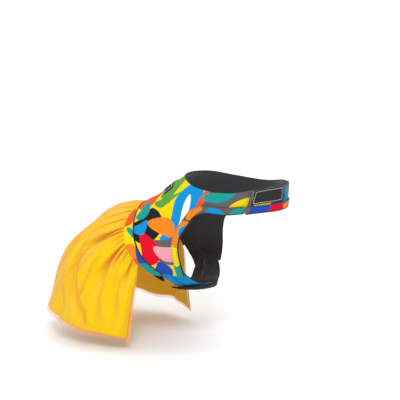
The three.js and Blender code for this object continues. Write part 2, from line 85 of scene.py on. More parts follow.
# Straps, bands and labels
NECK_STRAP_WIDTH = 0.0215
SHOULDER_FLARE = 0.009
ARMHOLE_BAND_WIDTH = 0.007
BELLY_STRAP_WIDTH = 0.03
BELLY_TUCK = 0.005
LABEL_MARGIN = 0.0006
NECK_LABEL_LENGTH = 0.027
BACK_LABEL_LENGTH = 0.048
BACK_LABEL_HEIGHT = 0.013
BACK_LABEL_TOP = 0.015
FASTENER_INSET = 0.003

# Bands: length and width of a rear band laid flat, and the armhole band's even path
REAR_BAND_LENGTH = 0.06
REAR_BAND_WIDTH = 0.009
BAND_SAMPLES = 401
SMOOTHED_SAMPLES = 24  # on each side of a sample
SMOOTHING = 9  # samples over which the smoothing fades
HEADING_STEP = 0.004
BAND_STITCH_ROWS = (0.22, 0.78, 0.92)  # shares of the band's width
STITCHED_SPAN = (0.01, 0.99)  # shares of the band's length
STITCH_LINE_SAMPLES = 120
PIPING_SAMPLES = 200
ARMHOLE_PIPING_SHARE = 0.85  # of the rear piping's radius
PIPING_SINK = 0.0002

# Belly straps: soft pleats along them, and one sharp one that leans across
PLEATS = 3
BELLY_PLEAT = 0.0012
PLEAT_FROM_DEG = 118
PLEAT_TO_DEG = 162
SHARP_PLEAT = 0.0022
SHARP_PLEAT_AT = 0.4
SHARP_PLEAT_LEAN = 0.12
SHARP_PLEAT_WIDTH = 0.04
BELLY_FROM_DEG = 105
BELLY_EDGE_WIDTH = 0.003

# Hook and loop patches and labels
PATCH_FLAT = (0.02, 0.015)
LABEL_BORDER = 0.0012
LABEL_THREAD_RADIUS = 0.0003
LABEL_STITCH_LENGTH_SHARE = 0.8  # of a topstitch's
LABEL_STITCH_PITCH_SHARE = 0.7

# Skirt and veil. Shares are of their length.
SKIRT_TRAIL = 0.096
SKIRT_FLARE = 0.027
SKIRT_DROP = 0.09
SKIRT_FACE = 0.0006
VEIL_FACE = 0.0013
RIPPLE_FROM = (0.02, 0.5)  # where the ripples start, and where they have their full height
# waves across, slant down, phase, height
RIPPLES = ((2 * math.pi * 7.3, 2.5, 0.0, 1.0), (2 * math.pi * 12.1, -4.0, 1.0, 0.6))
SEAM_TURN_SHARE = 0.15  # over which the skirt turns off the yoke's direction
FOLD_GROWTH_SHARE = 0.3  # over which a fold grows to its depth
FOLD_FADE_SHARE = 0.35  # and over which it fades
SEAM_SPREAD_SHARE = 0.25  # of its spread that the veil has at the seam
SPREAD_FROM_SHARE = 0.12  # by which it has its full spread
PLEAT_GROWN_SHARE = 0.2
PLEAT_FADES_SHARE = 0.55
HEM_BAND = (0.984, 0.99)  # where the veil's rolled hem starts, down
FRONT_BAND = (0.99, 0.995)  # and its rolled front edges, across

# Small gathers at the seam: how many, and from what ranges each one's values are drawn
SMALL_GATHERS = 64
GATHERS_TO = 0.98  # on each side, across
GATHER_SEED = 11
GATHER_SHIFT = (-0.008, 0.008)
GATHER_LEAN = (0.95, 1.0)
GATHER_REACH = (0.06, 0.2)
GATHER_DEPTH = (0.08, 0.34)
GATHER_WIDTH = (0.004, 0.008)

# A crease: where it ends in shares of its reach, how narrow it starts, how it grows, and its two shoulders
CREASE_END = 1.2
CREASE_START_WIDTH = 0.45
CREASE_GROWTH = 0.1
SHOULDER_HEIGHT = 0.55
SHOULDER_WIDTH = 2.4
# how wide the painted shade deep in a crease is, in shares of the crease's width
SHADED_WIDTH = 1.25

# How much of the edge opacity hem and front edge have, how much pleats add, and how much painted shade
# the creases add
HEM_DENSITY = 0.55
FRONT_DENSITY = 1.4
CREASE_SHADE_DENSITY = 0.35
PLEAT_DENSITY = 0.22

# Flat cloth: metres for each degree round the body, and for the torso's whole length
CHEST_FLAT_PER_DEG = 0.00086
NECK_FLAT_PER_DEG = 0.0007
BELLY_FLAT_PER_DEG = 0.00085
FLAT_PER_ALONG = 0.075
HALF_SKIRT_FLAT = 0.18
HALF_VEIL_FLAT = 0.19
SKIRT_LENGTH_FLAT = 0.12
SMOOTH_RIM = 0.12  # share of the back panel's length, at both ends, over which its wrinkles die out

# Meshes
FACES_PER_SAMPLE = 7
SAME_PLACE = 1e-7
STITCH_STEP = 1e-4
STITCH_FLATNESS = 0.7

MM = 1000  # millimetres in a metre
RIGHT = 1
LEFT = -1
SIDES = (("right", RIGHT), ("left", LEFT))

# Degrees round the body from the spine, and shares of the way from the spine to the panel's lower end
SHOULDER_TOP_SHARE = 0.5
SHOULDER_FOOT_SHARE = 7 / 12
SHOULDER_TOP_DEG = 83
SHOULDER_FOOT_DEG = 86.5
THROAT_DEG = 100
REAR_BAND_FROM = 0.67
REAR_BAND_TO = 1.2
SEAM_END_DEG = 105
NECK_RIGHT_END_DEG = 198
NECK_LEFT_END_DEG = 228
BELLY_RIGHT_END_DEG = 182
BELLY_LEFT_END_DEG = 208
BELLY_REAR_ALONG = 0.15
BELLY_SETTLE_SHARE = 0.4
OVERLAP_RAMP_DEG = 16
STRAP_END_DEG = 0.4
PATCH_MARGIN_DEG = 6
LABEL_FROM_END_DEG = 3
OVERLAP_HEIGHT = PANEL_WALL + LAYER_GAP + FASTENER_WALL + LAYER_GAP
BELLY_INNER = -(LAYER_GAP + PANEL_WALL)


def table(columns, rows):
    """A table with named columns."""
    return dict(zip(columns.split(), np.array(rows, float).T))


RINGS = table(
    "along run rise neck depth width lean",
    [
        (-0.3, -1.0, -0.74, 0, 0.91, 1.02, 24),
        (0.0, -0.54, -0.475, 0, 0.895, 1.0, 26),
        (0.25, -0.39, -0.34, 0, 1.0, 0.98, 32),
        (0.5, -0.27, -0.235, 0, 1.11, 0.955, 42),
        (0.7, -0.16, -0.155, 0.4, 1.26, 1.005, 68),
        (0.85, 0.0, 0.0, 0.7, 1.262, 1.015, 89),
        (1.0, 0.465, 0.525, 1, 1.0, 1.0, 89),
        (1.2, 0.75, 0.84, 1, 0.85, 0.95, 94),
    ],
)
NECK_EDGE = table(
    "around along",
    [(0, 1.0), (40, 0.985), (75, 0.955), (110, 0.95), (145, 1.0), (180, 1.01)],
)
ARMHOLE = table(
    "across around along",
    [(0.65, 86, 0.715), (0.74, 87.5, 0.655), (0.83, 96.5, 0.59), (0.92, 111, 0.535), (1.0, 128, 0.48)],
)
PANEL_REAR = table(
    "across around along",
    [
        (0, 0, 0.21),
        (0.15, 20, 0.2),
        (0.3, 39, 0.165),
        (0.5, 61, 0.115),
        (0.7, 82, 0.112),
        (0.85, 98, 0.145),
        (1.0, 116, 0.235),
        (1.2, 134, 0.18),
    ],
)
REAR_BAND_EDGE = table(
    "across around along",
    [
        (0.67, 80, 0.085),
        (0.78, 93, 0.035),
        (0.87, 105, 0.02),
        (0.95, 115, 0.06),
        (1.05, 124, 0.11),
        (1.2, 136, 0.155),
    ],
)
SKIRT_SEAM = table(
    "around along",
    [
        (0, 0.12),
        (14, 0.075),
        (28, -0.005),
        (48, -0.055),
        (64, -0.068),
        (80, -0.06),
        (93, -0.03),
        (105, -0.008),
    ],
)

# Bezier lines of the skirt from seam to hem. hem: how far the hem lies from the seam. leave, arrive: how far
# a line's handles reach from the seam and towards the hem. All are shares of the skirt's trail, flare and
# drop.
GORES = table(
    "around hem_back hem_out hem_down leave_back leave_out leave_down arrive_back arrive_out arrive_down",
    [
        (0, 1.03, 0.0, 1.0, 0.44, 0.0, 0.04, -0.03, 0.0, 0.57),
        (27, 0.95, 0.24, 1.0, 0.41, 0.29, 0.07, 0.01, 0.04, 0.54),
        (48, 0.85, 0.5, 0.96, 0.37, 0.44, 0.16, 0.05, 0.14, 0.46),
        (64, 0.63, 0.95, 0.93, 0.31, 0.62, 0.22, 0.08, 0.2, 0.36),
        (80, 0.41, 1.0, 0.885, 0.18, 0.57, 0.27, 0.08, 0.22, 0.3),
        (93, 0.18, 0.94, 0.825, 0.08, 0.45, 0.28, 0.05, 0.18, 0.28),
        (105, 0.03, 0.6, 0.79, 0.01, 0.26, 0.26, 0.01, 0.15, 0.26),
    ],
)

# Broad folds of the skirt. at, hem_at: where they lie at seam and hem, as shares of the way from spine to
# front edge, positive on the right. depth: share of the fold depth, negative where the cloth dips. start,
# end: shares of the skirt's length.
FOLDS = table(
    "at hem_at depth width start end",
    [
        (0.0, 0.0, 0.6, 0.25, -0.1, 0.45),
        (0.05, 0.05, -1.0, 0.2, 0.25, 0.95),
        (0.12, 0.12, 0.3, 0.14, 0.4, 0.95),
        (0.34, 0.34, -1.0, 0.16, 0.55, 1.3),
        (0.44, 0.48, 0.6, 0.12, 0.8, 1.8),
        (0.05, 0.8, 0.6, 0.1, 0.4, 1.4),
        (0.2, 0.82, -0.9, 0.08, 0.3, 1.3),
        (0.5, 0.36, -1.0, 0.06, 0.0, 0.6),
        (0.6, 0.63, 0.8, 0.07, 0.1, 0.75),
        (0.71, 0.71, -1.1, 0.07, 0.0, 0.65),
        (0.65, 0.82, 0.5, 0.06, 0.5, 1.2),
        (0.77, 0.93, -0.8, 0.06, 0.1, 0.85),
        (0.9, 0.9, -0.5, 0.05, 0.0, 0.5),
        (0.95, 0.95, 0.6, 0.06, 0.1, 1.1),
        (-0.1, -0.16, -0.3, 0.08, 0.1, 1.0),
        (-0.24, -0.34, 0.7, 0.1, 0.2, 1.2),
        (-0.34, -0.5, -1.0, 0.08, 0.0, 0.9),
        (-0.46, -0.62, 0.8, 0.08, 0.2, 1.2),
        (-0.59, -0.72, -0.9, 0.08, 0.0, 0.8),
        (-0.72, -0.84, 0.7, 0.08, 0.1, 1.2),
        (-0.88, -0.92, -0.5, 0.05, 0.0, 0.9),
    ],
)

# Sharp creases that run down from the seam. at, end_at: where they start and end, across; reach: share of the
# skirt's length; depth: share of the crease depth; width: across.
CREASES = table(
    "at end_at reach depth width",
    [
        (0.04, 0.05, 0.3, 0.4, 0.012),
        (0.13, 0.14, 0.3, 0.4, 0.012),
        (0.22, 0.26, 0.4, 0.6, 0.012),
        (0.35, 0.34, 0.42, 0.6, 0.012),
        (0.49, 0.43, 0.44, 1.3, 0.016),
        (0.53, 0.48, 0.32, 1.0, 0.013),
        (0.58, 0.57, 0.2, 0.5, 0.01),
        (0.64, 0.64, 0.16, 0.4, 0.01),
        (0.7, 0.71, 0.44, 1.3, 0.016),
        (0.75, 0.76, 0.3, 1.1, 0.013),
        (0.81, 0.81, 0.2, 0.6, 0.01),
        (0.91, 0.9, 0.34, 0.9, 0.014),
        (0.96, 0.95, 0.14, 0.4, 0.01),
        (-0.07, -0.06, 0.35, 0.6, 0.012),
        (-0.17, -0.15, 0.42, 0.8, 0.014),
        (-0.26, -0.24, 0.28, 0.5, 0.012),
        (-0.35, -0.33, 0.46, 0.9, 0.016),
        (-0.44, -0.41, 0.32, 0.6, 0.012),
        (-0.53, -0.5, 0.42, 0.9, 0.014),
        (-0.61, -0.58, 0.26, 0.6, 0.01),
        (-0.69, -0.65, 0.5, 1.1, 0.016),
        (-0.78, -0.75, 0.3, 0.7, 0.012),
        (-0.86, -0.83, 0.4, 0.9, 0.016),
        (-0.94, -0.93, 0.2, 0.5, 0.01),
    ],
)

# Soft pleats of the veil. at, end_at: where they start and end, across; start, end: shares of the skirt's
# length; width: across.
VEIL_PLEATS = table(
    "at end_at start end width",
    [
        (0.12, 0.2, 0.1, 0.8, 0.008),
        (0.22, 0.36, 0.12, 0.7, 0.009),
        (0.36, 0.86, 0.3, 1.1, 0.02),
        (0.44, 0.62, 0.3, 0.9, 0.01),
        (0.61, 0.74, 0.15, 1.0, 0.008),
        (0.74, 0.87, 0.2, 1.0, 0.009),
        (0.86, 0.92, 0.2, 0.8, 0.007),
        (-0.12, -0.2, 0.1, 0.8, 0.008),
        (-0.28, -0.44, 0.2, 0.9, 0.007),
        (-0.42, -0.6, 0.1, 0.8, 0.008),
        (-0.54, -0.7, 0.2, 1.0, 0.006),
        (-0.7, -0.84, 0.15, 0.8, 0.008),
        (-0.84, -0.92, 0.2, 0.9, 0.007),
    ],
)

# Colours of the cloth, as they look under a white light
PALETTE = {
    "yellow": (0.74, 0.56, 0.0),
    "black": (0.009, 0.009, 0.011),
    "grey": (0.1, 0.1, 0.11),
    "pink": (0.72, 0.3, 0.33),
    "red": (0.64, 0.0, 0.02),
    "orange": (0.8, 0.2, 0.01),
    "vermilion": (0.72, 0.08, 0.01),
    "teal": (0.005, 0.28, 0.26),
    "cobalt": (0.015, 0.06, 0.36),
    "sky": (0.0, 0.24, 0.56),
    "green": (0.09, 0.3, 0.04),
    "cream": (0.78, 0.76, 0.74),
}

# Finishes of the cloth
PRINTED_FINISH = {"roughness": 0.8, "sheen": 0.03, "specular": 0.12}
SATIN_FINISH = {"roughness": 0.3, "specular": 0.6}
SATIN_ANISOTROPY = 0.6
ORGANZA_FINISH = {"roughness": 0.6, "specular": 0.2}
PRINT_MOTTLE = (0.0012, 0.3)  # pitch and strength
BAND_MOTTLE = (0.001, 0.25)
PRINT_WEAVE_PITCH = 0.0007
PRINT_WEAVE_DEPTH = 0.0001
WEAVE_STRENGTH = 0.35
SHEEN_ROUGHNESS = 0.4
SATIN_SHINE = (1.0, 0.72, 0.12)
VEIL_BLEND = 0.3
VEIL_GRAZING = 0.5  # how much more the veil covers where it is seen along its face
ZONE_LEAN = 0.5  # how far a banded cloth's zones lean
THINNEST_SHARE = 0.1  # of a printed shape's width, where it tapers
EDGE_SHARPNESS = 12.0

# Plain materials: name, colour, roughness, sheen and weave pitch
LINING = ("lining_black", (0.026, 0.026, 0.03), 0.7, 0.35, 0.0012)
BINDING = ("binding_black", "black", 0.7, 0.1)
TOPSTITCH = ("topstitch_thread", (0.03, 0.03, 0.035), 0.6)
PILE = ("hook_and_loop_pile", "black", 0.95, 0.5, 0.0009)
WOVEN = ("woven_label_black", "black", 0.6, 0.02, 0.0004)
LABEL_THREAD = ("label_thread", "cream", 0.6)
# Inside of the skirt: duller, and tinted more orange as painted light shining through the thin satin
SATIN_BACK_PAINTED_LIGHT = ("satin_back_painted_light", (0.8, 0.44, 0.01), 0.6, 0.2)
FLOOR_WHITE = ("floor_white", (0.95, 0.95, 0.95), 0.9)

# The prints of the cloth: shapes laid one over the other on a ground. x, y: a shape's centre on the flat
# cloth. long, wide: half sizes. These four are in millimetres. turn: degrees. bend: how far it curves.
# taper: how much it thins to one end. power: 2 is an oval, more is squarer, less is a leaf.
PANEL_PRINT = [
    # colour, x, y, long, wide, turn, bend, taper, power
    ("vermilion", 16, 44, 30, 13, 74, 0.3, 0.1, 2.4),
    ("green", 32, 68, 17, 7, 15, 0.2, 0.5, 1.3),
    ("green", 40, 60, 14, 4.5, -35, -0.2, 0.5, 1.3),
    ("sky", 66, 60, 19, 10, 62, 0.3, 0.2, 2.2),
    ("black", 54, 27, 27, 14, 78, 0.35, 0.1, 2.6),
    ("teal", 33, 33, 18, 8, 60, 0.35, 0.2, 2.0),
    ("orange", 57, 47, 13, 6.5, -20, 0.3, 0.3, 2.0),
    ("grey", 84, 44, 24, 13, 112, 0.3, 0.1, 2.6),
    ("red", 76, 24, 19, 11, 24, 0.3, 0.2, 2.2),
    ("pink", 86, 42, 16, 7, 118, 0.4, -0.2, 2.0),
    ("cobalt", 102, 22, 15, 8, 50, 0.2, 0.1, 2.4),
    ("sky", 52, 22, 16, 6, 84, 0.4, 0.0, 1.8),
    ("teal", 100, 52, 12, 6, -60, 0.25, 0.2, 2.0),
    ("cream", 66, 61, 9, 2.8, 62, 0.3, 0.0, 1.5),
    ("pink", -22, 24, 21, 10, 110, 0.3, 0.2, 2.2),
    ("black", -44, 44, 24, 14, 30, -0.2, 0.1, 2.4),
    ("orange", -16, 56, 18, 9, -20, 0.3, 0.3, 2.0),
    ("sky", -64, 20, 20, 10, 60, 0.3, -0.2, 2.2),
    ("red", -46, 45, 12, 5, 35, 0.3, 0.2, 1.8),
    ("grey", -84, 46, 22, 13, -60, 0.2, 0.1, 2.4),
    ("green", -38, 16, 15, 5, 5, -0.3, 0.4, 1.4),
    ("cream", -23, 23, 12, 3, 110, 0.3, 0.0, 1.4),
    ("vermilion", -100, 22, 17, 8, 80, 0.2, 0.2, 2.0),
    ("teal", -62, 64, 17, 7, 15, 0.3, 0.0, 2.0),
    ("cobalt", -86, 45, 12, 5, -60, 0.3, 0.0, 1.8),
]
STRAP_PRINT = [
    ("vermilion", 55, 10, 14, 9, 60, 0.3, 0.2, 2.4),
    ("teal", 72, 6, 11, 6, 20, 0.3, 0.2, 2.2),
    ("yellow", 92, 15, 13, 6, 10, -0.3, 0.2, 2.0),
    ("black", 104, 5, 11, 5, -15, 0.3, 0.2, 2.2),
    ("teal", 122, 14, 11, 7, 70, 0.2, 0.1, 2.2),
    ("cobalt", 137, 8, 10, 8, 80, 0.3, 0.3, 2.2),
    ("yellow", 151, 14, 9, 5, 30, 0.3, 0.2, 2.0),
]
BAND_PRINT = [
    ("teal", 6, 3, 12, 6, 20, 0.0, 0.2, 2.4),
    ("yellow", 25, 5, 12, 6, 12, 0.2, 0.3, 2.0),
    ("orange", 46, 3, 15, 8, 6, 0.2, 0.2, 2.4),
    ("sky", 50, 0, 8, 4, 6, 0.2, 0.2, 2.0),
    ("orange", 70, 6, 9, 5, -10, 0.2, 0.1, 2.0),
    ("sky", 92, 1, 10, 4, 12, 0.2, 0.2, 2.2),
    ("teal", 116, 2, 12, 4, -6, 0.2, 0.2, 2.0),
    ("black", 136, 4, 8, 5, 30, 0.2, 0.2, 2.2),
    ("orange", 152, 3, 10, 5, -10, 0.2, 0.3, 2.2),
    ("red", 168, 4, 9, 6, -12, 0.3, 0.1, 2.2),
    ("cobalt", 184, 4, 10, 6, 25, 0.2, 0.2, 2.0),
]
YOKE_PRINT = [
    ("orange", 8, 6, 13, 4, 10, 0.2, 0.3, 2.0),
    ("vermilion", 34, 2, 14, 9, 40, 0.3, 0.2, 2.3),
    ("teal", 52, 4, 8, 3, -30, 0.2, 0.2, 1.8),
    ("orange", 76, 0, 12, 9, -20, 0.2, 0.2, 2.3),
    ("vermilion", 92, 2, 9, 7, 20, 0.2, 0.2, 2.2),
    ("teal", -14, 2, 12, 5, -20, 0.3, 0.2, 2.0),
    ("vermilion", -40, -2, 15, 8, -15, 0.3, 0.2, 2.2),
    ("black", -64, 2, 11, 6, 30, 0.2, 0.1, 2.2),
    ("orange", -86, 0, 14, 9, 10, 0.2, 0.2, 2.3),
]

# Zones of the banded cloth along its length: where each starts, as a share, and its colour
REAR_BAND_ZONES = ((0.0, "cobalt"), (0.42, "teal"), (0.76, "black"))
BELLY_ZONES = {
    "right": ((0.0, "sky"), (0.98, "sky")),
    "left": ((0.0, "sky"), (0.86, "black")),
}
BELLY_EDGE = (BELLY_EDGE_WIDTH, "orange")

# Soft wrinkles of the back panel. x, y: centre on the flat cloth; long, wide: half sizes. These and the
# height are in millimetres, and turn is in degrees.
WRINKLES = table(
    "x y turn long wide height",
    [
        (34, 58, 75, 16, 3.5, 0.5),
        (46, 52, 95, 18, 3, 0.45),
        (72, 40, 140, 16, 3.5, -0.5),
        (80, 30, 150, 15, 3, 0.5),
        (60, 26, 20, 16, 3, -0.35),
        (92, 30, 130, 13, 3, 0.45),
        (20, 28, 40, 18, 4, 0.4),
        (-36, 56, 105, 16, 3.5, 0.5),
        (-70, 38, 40, 16, 3.5, -0.5),
        (-84, 30, 30, 14, 3, 0.5),
        (-28, 26, -35, 18, 4, 0.4),
    ],
)

# Stage
FLOOR_HALF_SIZE = 6
FLOOR_DROP = 0.009  # from the hem to the floor
WORLD_STRENGTH = 0.8
MIDDLE = (0, 0, -0.06)
LIGHTS = (
    # name, place, aim, size, power
    ("key", (0.5, -0.9, 0.8), MIDDLE, 0.4, 8.0),
    ("side", (-1.3, -0.6, 0.5), MIDDLE, 0.4, 2.0),
    ("top", (-0.1, 0.4, 1.4), MIDDLE, 1.0, 3.0),
    ("floor_wash", (-1.3, 2.5, 1.8), (-1.5, 2.9, -0.15), 3.5, 34.0),
)
CAMERA_PLACE = (0.7237, -1.2605, 0.3019)
CAMERA_AIM = (0.0212, 0.0284, -0.0128)
CAMERA_LENS = 135
CAMERA_SENSOR = 36


def smooth(value, start, end):
    """From 0 at start to 1 at end, with level ends."""
    share = np.clip((value - start) / (end - start), 0, 1)
    return share * share * (3 - 2 * share)


def mix(a, b, share):
    return a + (b - a) * share


def unit(vectors):
    return vectors / np.linalg.norm(vectors, axis=-1, keepdims=True)


def dot(a, b):
    return np.sum(a * b, axis=-1)


def side_of(across):
    return np.where(across < 0, LEFT, RIGHT)


def run_along(points):
    """Distance along a line to each of its points."""
    return np.concatenate([[0], np.cumsum(np.linalg.norm(np.diff(points, axis=0), axis=1))])


def sample_line(value, keys, points):
    """Points or directions of a line at values of its keys."""
    return np.stack([np.interp(value, keys, points[:, i]) for i in range(3)], axis=-1)


def read(rows, key, value):
    """Every column of a table at values of its key column, on a smooth curve through the rows."""
    keys = rows[key]
    value = np.asarray(value, float)
    i = np.clip(np.searchsorted(keys, value, side="right") - 1, 0, len(keys) - 2)
    gaps = np.diff(keys)
    span = gaps[i]
    t = (value - keys[i]) / span
    found = {}
    for name, column in rows.items():
        secants = np.diff(column) / gaps
        inner = (gaps[:-1] * secants[1:] + gaps[1:] * secants[:-1]) / (gaps[:-1] + gaps[1:])
        slopes = np.concatenate([secants[:1], inner, secants[-1:]])
        start, end = column[i], column[i + 1]
        rise = 3 * (end - start) - span * (2 * slopes[i] + slopes[i + 1])
        curl = 2 * (start - end) + span * (slopes[i] + slopes[i + 1])
        found[name] = start + t * (span * slopes[i] + t * (rise + t * curl))
    return found


def torso(along, around):
    """Points of the torso. around: degrees from the spine down the right side, and on round to the left."""
    ring = read(RINGS, "along", along)
    depth = ring["depth"] * mix(CHEST_DEPTH, NECK_DEPTH, ring["neck"])
    width = ring["width"] * mix(CHEST_WIDTH, NECK_WIDTH, ring["neck"])
    lean, angle = np.radians(ring["lean"]), np.radians(around)
    down = depth * (1 - np.cos(angle)) / 2
    x = ring["run"] * BACK_RUN + down * np.sin(lean)
    y = -width * np.sin(angle) / 2
    z = ring["rise"] * BACK_RISE - down * np.cos(lean)
    return np.stack(np.broadcast_arrays(x, y, z), axis=-1)


def torso_frame(along, around):
    """How the torso changes along and around at places on it, and its outward direction there."""
    step, turn = 1e-3, 0.1
    forward = (torso(along + step, around) - torso(along - step, around)) / (2 * step)
    sideways = (torso(along, around + turn) - torso(along, around - turn)) / (2 * turn)
    return forward, sideways, unit(np.cross(sideways, forward))


def walk(place, heading, distance):
    """Places a given distance away over the torso. heading gives the direction to go from the frame at a
    place."""
    steps = 6
    along, around = (np.asarray(value, float) for value in place)
    for _ in range(steps):
        forward, sideways, normal = torso_frame(along, around)
        way = heading(forward, sideways, normal)
        way = unit(way - dot(way, normal)[..., None] * normal) * (np.asarray(distance) / steps)[..., None]
        ff, fs, ss = dot(forward, forward), dot(forward, sideways), dot(sideways, sideways)
        scale = 1 / (ff * ss - fs * fs)
        ahead, beside = dot(way, forward), dot(way, sideways)
        along = along + (ahead * ss - beside * fs) * scale
        around = around + (beside * ff - ahead * fs) * scale
    return along, around


def walk_forward(place, distance):
    return walk(place, lambda forward, sideways, normal: forward, distance)


def walk_down(place, distance):
    return walk(place, lambda forward, sideways, normal: sideways, distance)


def between(a, b, share):
    return mix(a[0], b[0], share), mix(a[1], b[1], share)


def cloth_at(place, side, height):
    """Points and outward directions of cloth at a height over the torso. The left side mirrors the right."""
    mirror = np.stack([np.ones_like(side), side, np.ones_like(side)], axis=-1) * np.ones(3)
    normal = torso_frame(*place)[2]
    points = torso(*place) + normal * np.asarray(height)[..., None]
    return points * mirror, normal * mirror


def neck_edge(around):
    from_spine = np.minimum(np.abs(around), 360 - around)
    return read(NECK_EDGE, "around", from_spine)["along"], np.asarray(around, float)


def strap_foot(around):
    from_spine = np.minimum(np.abs(around), 360 - np.asarray(around))
    flare = np.maximum(0, (THROAT_DEG - from_spine) / (THROAT_DEG - SHOULDER_FOOT_DEG)) ** 2
    return walk_forward(neck_edge(around), -NECK_STRAP_WIDTH - SHOULDER_FLARE * flare)


SHOULDER_TOP = neck_edge(SHOULDER_TOP_DEG)
SHOULDER_FOOT = strap_foot(SHOULDER_FOOT_DEG)
ARMHOLE_EDGE = {
    name: np.concatenate([[first], ARMHOLE[name]])
    for name, first in (
        ("across", SHOULDER_FOOT_SHARE),
        ("around", float(SHOULDER_FOOT[1])),
        ("along", float(SHOULDER_FOOT[0])),
    )
}


def panel_front(across):
    """The back panel's front edge: neck edge, shoulder seam, armhole."""
    across = np.asarray(across, float)
    neck = neck_edge(SHOULDER_TOP_DEG * across / SHOULDER_TOP_SHARE)
    share = (across - SHOULDER_TOP_SHARE) / (SHOULDER_FOOT_SHARE - SHOULDER_TOP_SHARE)
    seam = between(SHOULDER_TOP, SHOULDER_FOOT, share)
    hole = read(ARMHOLE_EDGE, "across", across)
    parts = [across <= SHOULDER_TOP_SHARE, across <= SHOULDER_FOOT_SHARE]
    return (
        np.select(parts, [neck[0], seam[0]], hole["along"]),
        np.select(parts, [neck[1], seam[1]], hole["around"]),
    )


def panel_rear(across):
    found = read(PANEL_REAR, "across", across)
    return found["along"], found["around"]


def rear_band_edge(across):
    found = read(REAR_BAND_EDGE, "across", across)
    return found["along"], found["around"]


def skirt_seam(around):
    return read(SKIRT_SEAM, "around", around)["along"], np.asarray(around, float)


def yoke_front(around):
    stops = np.arange(41) / 40
    free = stops < REAR_BAND_FROM
    rear, edge = panel_rear(stops), rear_band_edge(stops)
    along = np.where(free, rear[0], edge[0])
    return np.interp(around, np.where(free, rear[1], edge[1]), along), np.asarray(around, float)


def climb(around, side, right_end):
    """How far a left strap lies above the torso, where it climbs onto the right strap and the patch on it."""
    if side == RIGHT:
        return np.zeros_like(around)
    return OVERLAP_HEIGHT * smooth(around, 360 - right_end - OVERLAP_RAMP_DEG, 360 - right_end)


def belly_rows(around):
    rear = (BELLY_REAR_ALONG + 0 * around, around)
    return rear, (walk_forward(rear, BELLY_STRAP_WIDTH)[0], around)


def skirt_line(across, down):
    """Points of the skirt before its folds: Bezier lines from seam to hem."""
    around = np.abs(across) * SEAM_END_DEG
    line = read(GORES, "around", around)
    start = torso(*walk_forward(skirt_seam(around), -SEAM_GAP))

    def reach(name):
        back, out, drop = (line[f"{name}_{way}"] for way in ("back", "out", "down"))
        return np.stack([-back * SKIRT_TRAIL, -out * SKIRT_FLARE, -drop * SKIRT_DROP], axis=-1)

    hem = start + reach("hem")
    leave, arrive = start + reach("leave"), hem - reach("arrive")
    t = np.minimum(down, 1)[..., None]
    point = (1 - t) ** 3 * start + 3 * (1 - t) ** 2 * t * leave + 3 * (1 - t) * t**2 * arrive + t**3 * hem
    point = point + unit(hem - arrive) * np.maximum(down - 1, 0)[..., None] * SKIRT_DROP
    point[..., 1] *= side_of(across)
    return point


def skirt_normal(across, down):
    step = 0.01
    sideways = skirt_line(across + step, down) - skirt_line(across - step, down)
    downward = skirt_line(across, down + step) - skirt_line(across, np.maximum(down - step, 0))
    own = unit(np.cross(downward, sideways))
    normal = torso_frame(*skirt_seam(np.abs(across) * SEAM_END_DEG))[2]
    normal[..., 1] *= side_of(across)
    return unit(mix(normal, own, smooth(down, 0, SEAM_TURN_SHARE)[..., None]))


def skirt_folds(across, down):
    """How far the broad folds lift the skirt, as a share of their depth."""
    lift = np.zeros_like(across)
    for at, hem_at, depth, width, start, end in zip(*FOLDS.values()):
        away = np.clip(np.abs(across - mix(at, hem_at, down)) / width, 0, 1)
        grown = smooth(down, start, start + FOLD_GROWTH_SHARE)
        lasting = 1 - smooth(down, end - FOLD_FADE_SHARE, end)
        lift += depth * grown * lasting * np.cos(away * math.pi / 2) ** 2
    return lift


def crease_rows():
    """The sharp creases of the table and many small ones between them along the seam."""
    chance = np.random.default_rng(GATHER_SEED)
    places = np.linspace(-GATHERS_TO, GATHERS_TO, SMALL_GATHERS)
    places = places + chance.uniform(*GATHER_SHIFT, SMALL_GATHERS)
    small = {
        "at": places,
        "end_at": places * chance.uniform(*GATHER_LEAN, SMALL_GATHERS),
        "reach": chance.uniform(*GATHER_REACH, SMALL_GATHERS),
        "depth": chance.uniform(*GATHER_DEPTH, SMALL_GATHERS),
        "width": chance.uniform(*GATHER_WIDTH, SMALL_GATHERS),
    }
    return list(zip(*(np.concatenate([CREASES[name], small[name]]) for name in small)))


def skirt_creases(across, down):
    """How far the creases lift the skirt, as a share of their depth, and how deep in a crease a place lies,
    which masks the painted shade in the creases. A crease is a narrow valley between two low shoulders, and
    widens as it runs down."""
    lift, inside = np.zeros_like(across), np.zeros_like(across)
    for at, end_at, reach, depth, width in crease_rows():
        share = np.clip(down / reach, 0, CREASE_END)
        away = np.abs(across - mix(at, end_at, share)) / (width * (CREASE_START_WIDTH + share))
        grown = smooth(share, -CREASE_GROWTH, CREASE_GROWTH)
        strength = depth * grown * (1 - smooth(share, CREASE_GROWTH, 1))
        shoulders = SHOULDER_HEIGHT * np.exp(-((away / SHOULDER_WIDTH) ** 2))
        lift += strength * (shoulders - np.exp(-(away**2)))
        inside = np.maximum(inside, strength * np.exp(-((away / SHADED_WIDTH) ** 2)))
    return lift, inside


# Meshes


def new_piece(name, bm, materials):
    mesh = bpy.data.meshes.new(name)
    bm.to_mesh(mesh)
    bm.free()
    mesh.polygons.foreach_set("use_smooth", [True] * len(mesh.polygons))
    for material in materials:
        mesh.materials.append(material)
    piece = bpy.data.objects.new(name, mesh)
    bpy.context.collection.objects.link(piece)
    return piece


